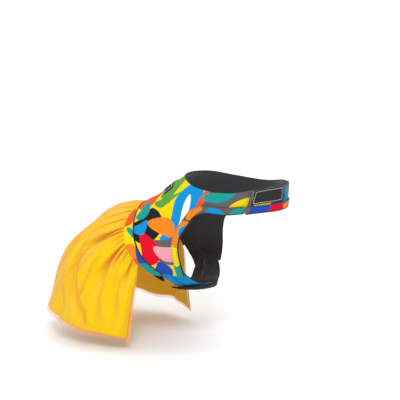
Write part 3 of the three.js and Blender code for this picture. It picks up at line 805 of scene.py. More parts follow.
def cloth_piece(name, columns, rows, at, wall, materials):
    """A sheet of cloth. at takes shares from 0 to 1 and gives points, outward directions, places on the flat
    cloth, and named values for the material. materials: of the face that shows, the inside and the edge."""
    bm = bmesh.new()
    bmesh.ops.create_grid(bm, x_segments=columns, y_segments=rows, size=0.5)
    shares = np.array([vert.co[:2] for vert in bm.verts]) + 0.5
    points, normals, flat, values = at(shares[:, 0], shares[:, 1])
    piece = new_piece(name, bm, materials)
    mesh = piece.data
    mesh.vertices.foreach_set("co", points.astype(np.float32).ravel())
    mesh.update()
    sample = [mesh.polygons[i] for i in range(0, len(mesh.polygons), FACES_PER_SAMPLE)]
    if sum(face.normal.dot(Vector(normals[face.vertices[0]])) for face in sample) < 0:
        mesh.flip_normals()
    corners = np.zeros(len(mesh.loops), np.int32)
    mesh.loops.foreach_get("vertex_index", corners)
    flat = np.stack(np.broadcast_arrays(*flat), axis=-1)[corners].astype(np.float32)
    mesh.uv_layers.new(name="flat_cloth").uv.foreach_set("vector", flat.ravel())
    for key, numbers in values.items():
        attribute = mesh.attributes.new(key, "FLOAT", "POINT")
        attribute.data.foreach_set("value", numbers.astype(np.float32))
    if wall:
        solid = piece.modifiers.new("wall", "SOLIDIFY")
        solid.thickness = wall
        solid.offset = -1
        solid.material_offset = 1 if len(materials) > 1 else 0
        solid.material_offset_rim = 2 if len(materials) > 2 else 0
        edge = piece.modifiers.new("soft_edge", "BEVEL")
        edge.width = wall / 4
        edge.segments = 2
        edge.limit_method = "ANGLE"
        edge.angle_limit = math.radians(50)
    return piece


def tube_piece(name, points, normals, radius, material, sides=10):
    """A round cord along points, with rounded ends."""
    count = len(points) - 1
    ways = unit(np.gradient(points, axis=0))
    bases = unit(np.cross(ways, normals))
    ups = np.cross(bases, ways)
    steps = run_along(points)
    ends = np.clip(np.minimum(steps, steps[-1] - steps) / radius, 0, 1)
    sizes = radius * np.sqrt(1 - (1 - ends) ** 2)
    bm = bmesh.new()
    bmesh.ops.create_grid(bm, x_segments=count, y_segments=sides, size=0.5)
    for vert in bm.verts:
        i = round((vert.co.x + 0.5) * count)
        angle = 2 * math.pi * (vert.co.y + 0.5)
        vert.co = points[i] + sizes[i] * (math.cos(angle) * bases[i] + math.sin(angle) * ups[i])
    bmesh.ops.remove_doubles(bm, verts=bm.verts, dist=SAME_PLACE)
    bmesh.ops.dissolve_degenerate(bm, edges=bm.edges, dist=SAME_PLACE)
    bmesh.ops.recalc_face_normals(bm, faces=bm.faces)
    return new_piece(name, bm, [material])


def stitch_piece(name, rows, length, pitch, radius, material):
    """Stitches along rows of points, each row with its outward directions."""
    bm = bmesh.new()
    for points, normals in rows:
        steps = run_along(points)
        count = max(1, int(steps[-1] / pitch))
        for k in range(count):
            middle = (k + 0.5) * steps[-1] / count
            up = unit(sample_line(middle, steps, normals))
            ahead = sample_line(middle + STITCH_STEP, steps, points)
            way = unit(ahead - sample_line(middle - STITCH_STEP, steps, points))
            sizes = (length / 2, radius, radius * STITCH_FLATNESS)
            basis = np.stack([way * sizes[0], np.cross(up, way) * sizes[1], up * sizes[2]], axis=1)
            spot = Matrix.Translation(Vector(sample_line(middle, steps, points)))
            place = spot @ Matrix(basis.tolist()).to_4x4()
            bmesh.ops.create_icosphere(bm, subdivisions=1, radius=1, matrix=place)
    bmesh.ops.recalc_face_normals(bm, faces=bm.faces)
    return new_piece(name, bm, [material])


# Materials


def rgba(colour):
    """A colour of the palette by its name, or any other by its parts."""
    return (*(PALETTE[colour] if isinstance(colour, str) else colour), 1.0)


def feed(tree, socket, value):
    """Link an output to an input socket, or set the input to a value."""
    if isinstance(value, bpy.types.NodeSocket):
        tree.links.new(value, socket)
    else:
        socket.default_value = value


def math_node(tree, operation, *values, clamp=False):
    """A math node on numbers or sockets. Gives its output socket."""
    node = tree.nodes.new("ShaderNodeMath")
    node.operation = operation
    node.use_clamp = clamp
    for socket, value in zip(node.inputs, values):
        feed(tree, socket, value)
    return node.outputs[0]


def mix_colours(tree, share, a, b):
    node = tree.nodes.new("ShaderNodeMix")
    node.data_type = "RGBA"
    for socket, value in ((node.inputs[0], share), (node.inputs[6], a), (node.inputs[7], b)):
        feed(tree, socket, value)
    return node.outputs[2]


def split_place(tree, place):
    parts = tree.nodes.new("ShaderNodeSeparateXYZ")
    tree.links.new(place, parts.inputs[0])
    return parts.outputs["X"], parts.outputs["Y"]


def new_group(name, sockets_in, output, kind):
    """An empty node group with its named inputs and one output, and its ends inside."""
    group = bpy.data.node_groups.new(name, "ShaderNodeTree")
    for label, kind_in, default in sockets_in:
        socket = group.interface.new_socket(label, in_out="INPUT", socket_type=kind_in)
        if default is not None:
            socket.default_value = default
    group.interface.new_socket(output, in_out="OUTPUT", socket_type=kind)
    source = group.nodes.new("NodeGroupInput")
    sink = group.nodes.new("NodeGroupOutput")
    return group, source.outputs, sink.inputs


def place_group(tree, name, make, **inputs):
    """Place a node group, made the first time, with values or sockets on its inputs. Gives its output."""
    node = tree.nodes.new("ShaderNodeGroup")
    node.node_tree = bpy.data.node_groups.get(name) or make()
    for label, value in inputs.items():
        feed(tree, node.inputs[label], value)
    return node.outputs[0]


def shape_group():
    """Mask of one printed shape: 1 inside it, 0 outside."""
    group, given, result = new_group(
        "printed_shape",
        [
            ("Place", "NodeSocketVector", None),
            ("Centre", "NodeSocketVector", None),
            ("Turn", "NodeSocketFloat", 0.0),
            ("Long", "NodeSocketFloat", 0.01),
            ("Wide", "NodeSocketFloat", 0.01),
            ("Bend", "NodeSocketFloat", 0.0),
            ("Taper", "NodeSocketFloat", 0.0),
            ("Power", "NodeSocketFloat", 2.0),
        ],
        "Mask",
        "NodeSocketFloat",
    )
    away = group.nodes.new("ShaderNodeVectorMath")
    away.operation = "SUBTRACT"
    group.links.new(given["Place"], away.inputs[0])
    group.links.new(given["Centre"], away.inputs[1])
    turned = group.nodes.new("ShaderNodeVectorRotate")
    turned.rotation_type = "Z_AXIS"
    group.links.new(away.outputs[0], turned.inputs["Vector"])
    group.links.new(given["Turn"], turned.inputs["Angle"])
    x, y = split_place(group, turned.outputs[0])
    x = math_node(group, "DIVIDE", x, given["Long"])
    y = math_node(group, "DIVIDE", y, given["Wide"])
    curve = math_node(group, "MULTIPLY", math_node(group, "MULTIPLY", x, x), given["Bend"])
    y = math_node(group, "ADD", y, math_node(group, "MULTIPLY", curve, 2.0))
    thin = math_node(group, "SUBTRACT", 1.0, math_node(group, "MULTIPLY", x, given["Taper"]))
    y = math_node(group, "DIVIDE", y, math_node(group, "MAXIMUM", thin, THINNEST_SHARE))
    powers = [math_node(group, "POWER", math_node(group, "ABSOLUTE", way), given["Power"]) for way in (x, y)]
    inside = math_node(group, "SUBTRACT", 1.0, math_node(group, "ADD", *powers))
    mask = math_node(group, "MULTIPLY", inside, EDGE_SHARPNESS)
    group.links.new(math_node(group, "ADD", mask, 0.5, clamp=True), result["Mask"])
    return group


def print_group(name, ground, shapes):
    """Printed cloth: coloured shapes on a ground."""
    group, given, result = new_group(name, [("Place", "NodeSocketVector", None)], "Colour", "NodeSocketColor")
    colour = rgba(ground)
    for shade, x, y, long, wide, turn, bend, taper, power in shapes:
        mask = place_group(
            group,
            "printed_shape",
            shape_group,
            Place=given["Place"],
            Centre=(x / MM, y / MM, 0),
            Turn=math.radians(turn),
            Long=long / MM,
            Wide=wide / MM,
            Bend=bend,
            Taper=taper,
            Power=power,
        )
        colour = mix_colours(group, mask, colour, rgba(shade))
    group.links.new(colour, result["Colour"])
    return group


def weave_group():
    """Height of a plain weave's threads."""
    group, given, result = new_group(
        "plain_weave",
        [("Place", "NodeSocketVector", None), ("Pitch", "NodeSocketFloat", 0.0006)],
        "Height",
        "NodeSocketFloat",
    )
    waves = []
    for way in split_place(group, given["Place"]):
        turns = math_node(group, "DIVIDE", way, given["Pitch"])
        waves.append(math_node(group, "SINE", math_node(group, "MULTIPLY", turns, 2 * math.pi)))
    group.links.new(math_node(group, "MULTIPLY", *waves), result["Height"])
    return group


def mottle_group():
    """A colour with the slight unevenness of yarns and dye."""
    group, given, result = new_group(
        "dye_mottle",
        [
            ("Place", "NodeSocketVector", None),
            ("Colour", "NodeSocketColor", None),
            ("Pitch", "NodeSocketFloat", 0.0012),
            ("Strength", "NodeSocketFloat", 0.3),
        ],
        "Colour",
        "NodeSocketColor",
    )
    fine = group.nodes.new("ShaderNodeTexNoise")
    fine.inputs["Detail"].default_value = 3
    group.links.new(given["Place"], fine.inputs["Vector"])
    group.links.new(math_node(group, "DIVIDE", 1.0, given["Pitch"]), fine.inputs["Scale"])
    away = math_node(group, "SUBTRACT", fine.outputs["Fac"], 0.5)
    shade = math_node(group, "MULTIPLY_ADD", away, given["Strength"], 1.0)
    scaled = group.nodes.new("ShaderNodeVectorMath")
    scaled.operation = "SCALE"
    group.links.new(given["Colour"], scaled.inputs[0])
    group.links.new(shade, scaled.inputs["Scale"])
    group.links.new(scaled.outputs[0], result["Colour"])
    return group


def new_material(name, roughness, sheen=0.0, specular=0.3):
    """A material, its nodes and its shader, or the material alone where it is made already."""
    material = bpy.data.materials.get(name)
    if material:
        return material, None, None
    material = bpy.data.materials.new(name)
    material.use_nodes = True
    tree = material.node_tree
    shader = tree.nodes["Principled BSDF"]
    shader.inputs["Roughness"].default_value = roughness
    shader.inputs["Specular IOR Level"].default_value = specular
    shader.inputs["Sheen Weight"].default_value = sheen
    shader.inputs["Sheen Roughness"].default_value = SHEEN_ROUGHNESS
    return material, tree, shader


def flat_place(tree):
    node = tree.nodes.new("ShaderNodeUVMap")
    node.uv_map = "flat_cloth"
    return node.outputs["UV"]


def attribute_value(tree, name):
    node = tree.nodes.new("ShaderNodeAttribute")
    node.attribute_name = name
    return node.outputs["Fac"]


def add_weave(tree, shader, place, pitch, depth):
    bump = tree.nodes.new("ShaderNodeBump")
    bump.inputs["Strength"].default_value = WEAVE_STRENGTH
    bump.inputs["Distance"].default_value = depth
    height = place_group(tree, "plain_weave", weave_group, Place=place, Pitch=pitch)
    tree.links.new(height, bump.inputs["Height"])
    tree.links.new(bump.outputs["Normal"], shader.inputs["Normal"])


def add_print(tree, shader, place, colour, pitch, strength):
    """Colour a printed cloth, mottled at a pitch and strength, on a fine weave."""
    mottled = place_group(
        tree, "dye_mottle", mottle_group, Place=place, Colour=colour, Pitch=pitch, Strength=strength
    )
    tree.links.new(mottled, shader.inputs["Base Color"])
    add_weave(tree, shader, place, PRINT_WEAVE_PITCH, PRINT_WEAVE_DEPTH)


def printed_material(name, print_name, ground, shapes):
    """Printed cloth with a fine weave."""
    material, tree, shader = new_material(name, **PRINTED_FINISH)
    if tree:
        place = flat_place(tree)
        colour = place_group(tree, print_name, lambda: print_group(print_name, ground, shapes), Place=place)
        add_print(tree, shader, place, colour, *PRINT_MOTTLE)
    return material


def banded_material(name, length, stops, edge=None):
    """Cloth in zones along its length. stops: where each zone starts, as a share, and its colour. edge: width
    and colour of a strip along its first edge."""
    material, tree, shader = new_material(name, **PRINTED_FINISH)
    if tree:
        place = flat_place(tree)
        x, y = split_place(tree, place)
        lean = math_node(tree, "MULTIPLY", y, ZONE_LEAN)
        share = math_node(tree, "DIVIDE", math_node(tree, "ADD", x, lean), length)
        ramp = tree.nodes.new("ShaderNodeValToRGB")
        ramp.color_ramp.interpolation = "CONSTANT"
        while len(ramp.color_ramp.elements) < len(stops):
            ramp.color_ramp.elements.new(0.5)
        for element, (position, colour) in zip(ramp.color_ramp.elements, stops):
            element.position = position
            element.color = rgba(colour)
        tree.links.new(share, ramp.inputs["Fac"])
        colour = ramp.outputs["Color"]
        if edge:
            inside = math_node(tree, "LESS_THAN", y, edge[0])
            colour = mix_colours(tree, inside, colour, rgba(edge[1]))
        add_print(tree, shader, place, colour, *BAND_MOTTLE)
    return material


def plain_material(name, colour, roughness, sheen=0.0, pitch=0.0):
    """Cloth, thread or floor of one colour, with a weave where it has a pitch."""
    material, tree, shader = new_material(name, roughness, sheen)
    if tree:
        shader.inputs["Base Color"].default_value = rgba(colour)
        if pitch:
            add_weave(tree, shader, flat_place(tree), pitch, pitch / 6)
    return material


def satin_material(settings):
    """Satin with a soft lengthwise sheen, and painted shade of a darker red deep in its creases."""
    material, tree, shader = new_material("skirt_satin", **SATIN_FINISH)
    if tree:
        # Painted shade: a darker red mixed into the satin deep in its creases
        crease = attribute_value(tree, "crease")
        colour = mix_colours(tree, crease, rgba(settings.satin_colour), rgba(settings.crease_shade_colour))
        tree.links.new(colour, shader.inputs["Base Color"])
        shader.inputs["Anisotropic"].default_value = SATIN_ANISOTROPY
        shader.inputs["Specular Tint"].default_value = rgba(SATIN_SHINE)
    return material


def organza_material(settings):
    """Sheer organza, denser where it is seen along its face and where it lies in layers, with painted shade
    added in its creases.
    """
    material, tree, shader = new_material("veil_organza", **ORGANZA_FINISH)
    if tree:
        shader.inputs["Base Color"].default_value = rgba(settings.veil_colour)
        weight = tree.nodes.new("ShaderNodeLayerWeight")
        weight.inputs["Blend"].default_value = VEIL_BLEND
        facing = weight.outputs["Facing"]
        alpha = math_node(tree, "MULTIPLY_ADD", facing, VEIL_GRAZING, settings.veil_opacity)
        # Cover from layers of cloth, with painted shade added in the creases
        alpha = math_node(tree, "ADD", alpha, attribute_value(tree, "cloth_layers_and_crease_shade"), clamp=True)
        tree.links.new(alpha, shader.inputs["Alpha"])
    return material


def cloth_materials(face):
    """The materials of a lined piece: its face, its lining and its edge."""
    return [face, plain_material(*LINING), plain_material(*BINDING)]


# Settings and operators


def length_setting(name, description, default, least=0):
    return FloatProperty(name=name, description=description, default=default, min=least, unit="LENGTH")


def share_setting(name, description, default):
    return FloatProperty(name=name, description=description, default=default, min=0, max=1, subtype="FACTOR")


def colour_setting(name, description, default):
    return FloatVectorProperty(name=name, description=description, default=default, size=3, subtype="COLOR")


def count_setting(name, description, default, least):
    return IntProperty(name=name, description=description, default=default, min=least)


class DressSettings(bpy.types.PropertyGroup):
    """Sizes and colours of the dress's cloth that the CAD frame leaves open."""

    fold_depth: length_setting("Fold depth", "Height of the skirt's broad folds", 0.005)
    crease_depth: length_setting("Crease depth", "Depth of the sharp creases below the seam", 0.003)
    ripple_depth: length_setting("Ripple depth", "Height of the skirt's shallow ripples", 0.0008)
    veil_overhang: length_setting("Veil overhang", "How far the veil hangs below the skirt", 0.0036)
    veil_spread: share_setting("Veil spread", "How far it reaches past each of the skirt's front edges", 0.011)
    veil_opacity: share_setting("Veil opacity", "How much the veil covers, seen face on", 0.06)
    edge_opacity: share_setting("Edge opacity", "How much more the veil covers at its edges", 0.42)
    veil_colour: colour_setting("Veil colour", "Colour of the organza", (0.88, 0.31, 0.06))
    satin_colour: colour_setting("Satin colour", "Colour of the skirt", (0.77, 0.57, 0.0))
    # Painted shade: the darker red that the satin takes deep in its creases
    crease_shade_colour: colour_setting("Crease colour", "Colour of the skirt deep in a fold", (0.66, 0.12, 0.0))
    skirt_columns: count_setting("Skirt columns", "Quads across each layer of the skirt", 410, 60)
    skirt_rows: count_setting("Skirt rows", "Quads down each layer of the skirt", 100, 10)
    piping_radius: length_setting("Piping radius", "Half the piping's thickness", 0.0008, 0.0002)
    stitch_length: length_setting("Stitch length", "Length of one topstitch", 0.0021, 0.0005)
    stitch_pitch: length_setting("Stitch pitch", "From one topstitch to the next", 0.0028, 0.001)
    stitch_radius: length_setting("Stitch radius", "Half a topstitch's width", 0.00018, 0.0001)


def panel_wrinkles(x, y):
    """Height of the back panel's wrinkles at places on the flat cloth, in metres."""
    height = np.zeros_like(x)
    for centre_x, centre_y, turn, long, wide, rise in zip(*WRINKLES.values()):
        away_x, away_y = x * MM - centre_x, y * MM - centre_y
        angle = math.radians(turn)
        along = (away_x * math.cos(angle) + away_y * math.sin(angle)) / long
        beside = (away_y * math.cos(angle) - away_x * math.sin(angle)) / wide
        height += rise / MM * np.exp(-(along**2) - beside**2)
    return height


def panel_spots(u, v):
    across = 2 * u - 1
    half, side = np.abs(across), side_of(across)
    place = between(panel_rear(half), panel_front(half), v)
    flat = (place[1] * side * CHEST_FLAT_PER_DEG, place[0] * FLAT_PER_ALONG)
    inner = smooth(v, 0, SMOOTH_RIM) * (1 - smooth(v, 1 - SMOOTH_RIM, 1))
    points, normals = cloth_at(place, side, PANEL_WALL + panel_wrinkles(*flat) * inner)
    return points, normals, flat, {}


class DRESS_OT_back_panel(bpy.types.Operator):
    """Back panel in printed cloth with a black lining"""

    bl_idname = "dress.back_panel"
    bl_label = "Back panel"

    def execute(self, context):
        face = printed_material("panel_print", "print_of_panel", "yellow", PANEL_PRINT)
        piece = cloth_piece("panel_cloth", 240, 64, panel_spots, PANEL_WALL, cloth_materials(face))
        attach(piece, "root")
        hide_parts("back_panel")
        return {"FINISHED"}


def yoke_spots(u, v):
    around = (2 * u - 1) * SEAM_END_DEG
    half = np.abs(around)
    place = between(skirt_seam(half), yoke_front(half), v)
    points, normals = cloth_at(place, side_of(around), PANEL_WALL)
    return points, normals, (around * CHEST_FLAT_PER_DEG, place[0] * FLAT_PER_ALONG), {}


class DRESS_OT_yoke(bpy.types.Operator):
    """Crescent yoke between the back panel and the skirt"""

    bl_idname = "dress.yoke"
    bl_label = "Yoke"

    def execute(self, context):
        face = printed_material("yoke_print", "print_of_yoke", "yellow", YOKE_PRINT)
        piece = cloth_piece("yoke_cloth", 200, 12, yoke_spots, PANEL_WALL, cloth_materials(face))
        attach(piece, "root")
        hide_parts("yoke")
        return {"FINISHED"}


def rear_band_spots(side):
    def spots(u, v):
        across = mix(REAR_BAND_FROM, REAR_BAND_TO, u)
        place = between(panel_rear(across), rear_band_edge(across), v)
        points, normals = cloth_at(place, side, PANEL_WALL)
        return points, normals, (u * REAR_BAND_LENGTH, v * REAR_BAND_WIDTH), {}

    return spots


class DRESS_OT_rear_bands(bpy.types.Operator):
    """Bands on the panel's lower rear corners"""

    bl_idname = "dress.rear_bands"
    bl_label = "Rear bands"

    def execute(self, context):
        face = banded_material("rear_band_print", REAR_BAND_LENGTH, REAR_BAND_ZONES)
        materials = cloth_materials(face)
        for name, side in SIDES:
            spots = rear_band_spots(side)
            piece = cloth_piece(f"rear_band_cloth_{name}", 90, 14, spots, PANEL_WALL, materials)
            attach(piece, "root")
            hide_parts(f"rear_band_{name}")
        return {"FINISHED"}


def band_path(share, end):
    """Places along an armhole's edge from its lower end to the shoulder, and on under the neck strap."""
    on_panel = panel_front(mix(1, SHOULDER_FOOT_SHARE, np.minimum(share * 2, 1)))
    on_strap = strap_foot(mix(SHOULDER_FOOT_DEG, end, np.maximum(share * 2 - 1, 0)))
    low = share < 0.5
    return np.where(low, on_panel[0], on_strap[0]), np.where(low, on_panel[1], on_strap[1])


def even_path(end, shares):
    """Places at even distances along the armhole band, the direction it runs in, and its length."""
    dense = np.linspace(0, 1, BAND_SAMPLES)
    weights = np.exp(-((np.arange(-SMOOTHED_SAMPLES, SMOOTHED_SAMPLES + 1) / SMOOTHING) ** 2))
    places = []
    for row in band_path(dense, end):
        padded = np.pad(row, SMOOTHED_SAMPLES, mode="reflect", reflect_type="odd")
        places.append(np.convolve(padded, weights / weights.sum(), mode="valid"))
    points = torso(*places)
    steps = run_along(points)
    at = np.interp(shares * steps[-1], steps, dense)
    found = tuple(np.interp(at, dense, row) for row in places)
    ahead = np.clip(at + HEADING_STEP, 0, 1)
    behind = np.clip(at - HEADING_STEP, 0, 1)
    heading = sample_line(ahead, dense, points) - sample_line(behind, dense, points)
    return found, unit(heading), steps[-1]


def armhole_spots(side, height):
    end = 360 - NECK_LEFT_END_DEG - STRAP_END_DEG if side == RIGHT else NECK_LEFT_END_DEG

    def spots(u, v):
        place, heading, length = even_path(end, u)
        inward = np.cross(torso_frame(*place)[2], heading)
        inner = walk(place, lambda forward, sideways, normal: inward, ARMHOLE_BAND_WIDTH * v)
        base = climb(inner[1], side, NECK_RIGHT_END_DEG) + PANEL_WALL + LAYER_GAP
        points, normals = cloth_at(inner, side, base + height)
        return points, normals, (u * length, v * ARMHOLE_BAND_WIDTH), {}

    return spots


class DRESS_OT_armhole_bands(bpy.types.Operator):
    """Bands round the armholes, topstitched and piped"""

    bl_idname = "dress.armhole_bands"
    bl_label = "Armhole bands"

    def execute(self, context):
        settings = context.scene.dog_dress
        face = printed_material("armhole_band_print", "print_of_bands", "grey", BAND_PRINT)
        thread = plain_material(*TOPSTITCH)
        black = plain_material(*BINDING)
        stitch = (settings.stitch_length, settings.stitch_pitch, settings.stitch_radius)
        for name, side in SIDES:
            spots = armhole_spots(side, BAND_WALL)
            materials = cloth_materials(face)
            piece = cloth_piece(f"armhole_band_cloth_{name}", 200, 10, spots, BAND_WALL, materials)
            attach(piece, "root")
            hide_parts(f"armhole_band_{name}")
            line = np.linspace(*STITCHED_SPAN, STITCH_LINE_SAMPLES)
            rows = [spots(line, np.full_like(line, row))[:2] for row in BAND_STITCH_ROWS]
            stitches = stitch_piece(f"armhole_stitches_{name}", rows, *stitch, thread)
            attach(stitches, "root")
            line = np.linspace(0, 1, PIPING_SAMPLES)
            points, normals = armhole_spots(side, BAND_WALL / 2)(line, np.zeros_like(line))[:2]
            radius = settings.piping_radius * ARMHOLE_PIPING_SHARE
            piping = tube_piece(f"armhole_piping_{name}", points, normals, radius, black)
            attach(piping, "root")
        return {"FINISHED"}


def neck_spots(side):
    end = NECK_RIGHT_END_DEG if side == RIGHT else NECK_LEFT_END_DEG

    def along(around, row):
        return between(neck_edge(around), strap_foot(around), row)[0]

    def spots(u, v):
        start = between(SHOULDER_TOP, SHOULDER_FOOT, v)
        around = mix(start[1], end, u)
        turned = (start[0] - along(start[1], v)) * (1 - u) ** 3
        place = (along(around, v) + turned, around)
        height = climb(around, side, NECK_RIGHT_END_DEG) + PANEL_WALL
        points, normals = cloth_at(place, side, height)
        return points, normals, (around * NECK_FLAT_PER_DEG, v * NECK_STRAP_WIDTH), {}

    return spots


class DRESS_OT_neck_straps(bpy.types.Operator):
    """Neck straps, the left one closed over the right one"""

    bl_idname = "dress.neck_straps"
    bl_label = "Neck straps"

    def execute(self, context):
        face = printed_material("neck_strap_print", "print_of_straps", "grey", STRAP_PRINT)
        materials = cloth_materials(face)
        for name, side in SIDES:
            spots = neck_spots(side)
            piece = cloth_piece(f"neck_strap_cloth_{name}", 160, 24, spots, PANEL_WALL, materials)
            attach(piece, "root")
            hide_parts(f"neck_strap_{name}")
        return {"FINISHED"}


def belly_spots(side):
    end = BELLY_RIGHT_END_DEG if side == RIGHT else BELLY_LEFT_END_DEG

    def spots(u, v):
        rear, front = panel_rear(1.0), panel_front(1.0)
        start = walk_down(between(rear, front, v), -BELLY_TUCK)
        low, high = belly_rows(np.full_like(u, end))
        around = mix(start[1], end, u)
        along = mix(start[0], between(low, high, v)[0], smooth(u, 0, BELLY_SETTLE_SHARE))
        share = np.clip((around - PLEAT_FROM_DEG) / (PLEAT_TO_DEG - PLEAT_FROM_DEG), 0, 1)
        pleated = np.sin(math.pi * share)
        soft = BELLY_PLEAT * pleated * np.sin(PLEATS * math.pi * v) ** 2
        away = v - 0.5 - SHARP_PLEAT_LEAN * (u - SHARP_PLEAT_AT)
        sharp = SHARP_PLEAT * pleated * np.exp(-((away / SHARP_PLEAT_WIDTH) ** 2))
        height = BELLY_INNER + climb(around, side, BELLY_RIGHT_END_DEG) - soft - sharp
        points, normals = cloth_at((along, around), side, height + PANEL_WALL)
        flat = ((around - start[1]) * BELLY_FLAT_PER_DEG, v * BELLY_STRAP_WIDTH)
        return points, normals, flat, {}

    return spots


class DRESS_OT_belly_straps(bpy.types.Operator):
    """Belly straps, the left one closed over the right one"""

    bl_idname = "dress.belly_straps"
    bl_label = "Belly straps"

    def execute(self, context):
        ends = {"right": BELLY_RIGHT_END_DEG, "left": BELLY_LEFT_END_DEG}
        for name, side in SIDES:
            length = (ends[name] - BELLY_FROM_DEG) * BELLY_FLAT_PER_DEG
            face = banded_material(f"belly_strap_print_{name}", length, BELLY_ZONES[name], BELLY_EDGE)
            materials, spots = cloth_materials(face), belly_spots(side)
            piece = cloth_piece(f"belly_strap_cloth_{name}", 110, 40, spots, PANEL_WALL, materials)
            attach(piece, "root")
            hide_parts(f"belly_strap_{name}")
        return {"FINISHED"}


def neck_rows(around):
    return strap_foot(around), neck_edge(around)


def patch_spots(left_end, right_end, edges, inner):
    start, end = 360 - left_end + PATCH_MARGIN_DEG, right_end - PATCH_MARGIN_DEG

    def spots(u, v):
        low, high = edges(mix(start, end, u))
        place = between(walk_forward(low, FASTENER_INSET), walk_forward(high, -FASTENER_INSET), v)
        height = inner + PANEL_WALL + LAYER_GAP + FASTENER_WALL
        points, normals = cloth_at(place, RIGHT, np.full_like(u, height))
        return points, normals, (u * PATCH_FLAT[0], v * PATCH_FLAT[1]), {}

    return spots


class DRESS_OT_fasteners(bpy.types.Operator):
    """Hook and loop patches between the overlapping straps"""

    bl_idname = "dress.fasteners"
    bl_label = "Fasteners"

    def execute(self, context):
        pile = plain_material(*PILE)
        patches = (
            ("neck", NECK_LEFT_END_DEG, NECK_RIGHT_END_DEG, neck_rows, 0.0),
            ("belly", BELLY_LEFT_END_DEG, BELLY_RIGHT_END_DEG, belly_rows, BELLY_INNER),
        )
        for name, *shape in patches:
            spots = patch_spots(*shape)
            piece = cloth_piece(f"{name}_fastener_pile", 24, 16, spots, FASTENER_WALL, [pile])
            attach(piece, "root")
            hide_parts(f"{name}_fastener")
        return {"FINISHED"}


def label_spots(start, drop, length, height, inner):
    def spots(u, v):
        around = walk_down(neck_edge(np.full_like(u, start)), length * u)[1]
        place = walk_forward(neck_edge(around), -drop - height * v)
        points, normals = cloth_at(place, RIGHT, np.full_like(u, inner + LABEL_WALL))
        return points, normals, (u * length, v * height), {}

    return spots


def border_rows(spots, length, height):
    """Rows of places along a label's four sides, a little in from its edges."""
    left, low = LABEL_BORDER / length, LABEL_BORDER / height
    right, high = 1 - left, 1 - low
    corners = ((left, low), (right, low), (right, high), (left, high), (left, low))
    line = np.linspace(0, 1, 40)
    return [
        spots(mix(u0, u1, line), mix(v0, v1, line))[:2]
        for (u0, v0), (u1, v1) in zip(corners, corners[1:])
    ]


class DRESS_OT_labels(bpy.types.Operator):
    """Bare woven labels with a stitched border, on the neck strap's end and on the back"""

    bl_idname = "dress.labels"
    bl_label = "Labels"

    def execute(self, context):
        settings = context.scene.dog_dress
        woven = plain_material(*WOVEN)
        thread = plain_material(*LABEL_THREAD)
        strap_height = NECK_STRAP_WIDTH - ARMHOLE_BAND_WIDTH - 2 * LABEL_MARGIN
        strap_start = 360 - NECK_LEFT_END_DEG + LABEL_FROM_END_DEG
        strap_inner = OVERLAP_HEIGHT + PANEL_WALL + LAYER_GAP
        back_start = float(walk_down(neck_edge(0.0), -BACK_LABEL_LENGTH / 2)[1])
        back_inner = PANEL_WALL + LAYER_GAP
        sizes = {
            "neck_label": (strap_start, LABEL_MARGIN, NECK_LABEL_LENGTH, strap_height, strap_inner),
            "back_label": (back_start, BACK_LABEL_TOP, BACK_LABEL_LENGTH, BACK_LABEL_HEIGHT, back_inner),
        }
        length = settings.stitch_length * LABEL_STITCH_LENGTH_SHARE
        stitch = (length, settings.stitch_pitch * LABEL_STITCH_PITCH_SHARE, LABEL_THREAD_RADIUS)
        for name, (start, drop, length, height, inner) in sizes.items():
            spots = label_spots(start, drop, length, height, inner)
            piece = cloth_piece(f"{name}_woven", 80, 24, spots, LABEL_WALL, [woven])
            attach(piece, "root")
            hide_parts(name)
            rows = border_rows(spots, length, height)
            stitches = stitch_piece(f"{name}_stitches", rows, *stitch, thread)
            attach(stitches, "root")
        return {"FINISHED"}


def skirt_lift(across, down, settings):
    """Height of the skirt over its plain form, and how deep in a crease each place lies: the painted shade's
    mask.
    """
    creases, inside = skirt_creases(across, down)
    lift = skirt_folds(across, down) * settings.fold_depth + creases * settings.crease_depth
    ripple = np.zeros_like(across)
    for waves, slant, phase, height in RIPPLES:
        ripple += height * np.sin(waves * across + slant * down + phase)
    return lift + settings.ripple_depth * ripple * smooth(down, *RIPPLE_FROM), inside


def skirt_spots(settings):
    def spots(u, v):
        across, down = 2 * u - 1, v
        lift, inside = skirt_lift(across, down, settings)
        normals = skirt_normal(across, down)
        points = skirt_line(across, down) + normals * (SKIRT_FACE + lift)[..., None]
        flat = (across * HALF_SKIRT_FLAT, down * SKIRT_LENGTH_FLAT)
        # crease: where the painted shade lies, deep in the creases
        return points, normals, flat, {"crease": np.clip(inside, 0, 1)}

    return spots


class DRESS_OT_skirt(bpy.types.Operator):
    """Gathered satin skirt"""

    bl_idname = "dress.skirt"
    bl_label = "Skirt"

    def execute(self, context):
        settings = context.scene.dog_dress
        # The inside takes the duller satin back, tinted more orange as painted light through the cloth
        materials = [satin_material(settings), plain_material(*SATIN_BACK_PAINTED_LIGHT)]
        quads = (settings.skirt_columns, settings.skirt_rows)
        piece = cloth_piece("skirt_satin", *quads, skirt_spots(settings), SATIN_WALL, materials)
        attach(piece, "root")
        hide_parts("skirt")
        return {"FINISHED"}


def veil_pleats(across, down):
    """Where the veil lies in soft pleats over itself, from 0 to 1."""
    layers = np.zeros_like(across)
    for at, end_at, start, end, width in zip(*VEIL_PLEATS.values()):
        share = np.clip((down - start) / (end - start), 0, 1)
        away = (across - mix(at, end_at, share)) / (width * (1 + share))
        strength = smooth(share, 0, PLEAT_GROWN_SHARE) * (1 - smooth(share, PLEAT_FADES_SHARE, 1))
        layers = np.maximum(layers, strength * np.exp(-(away**2)))
    return layers


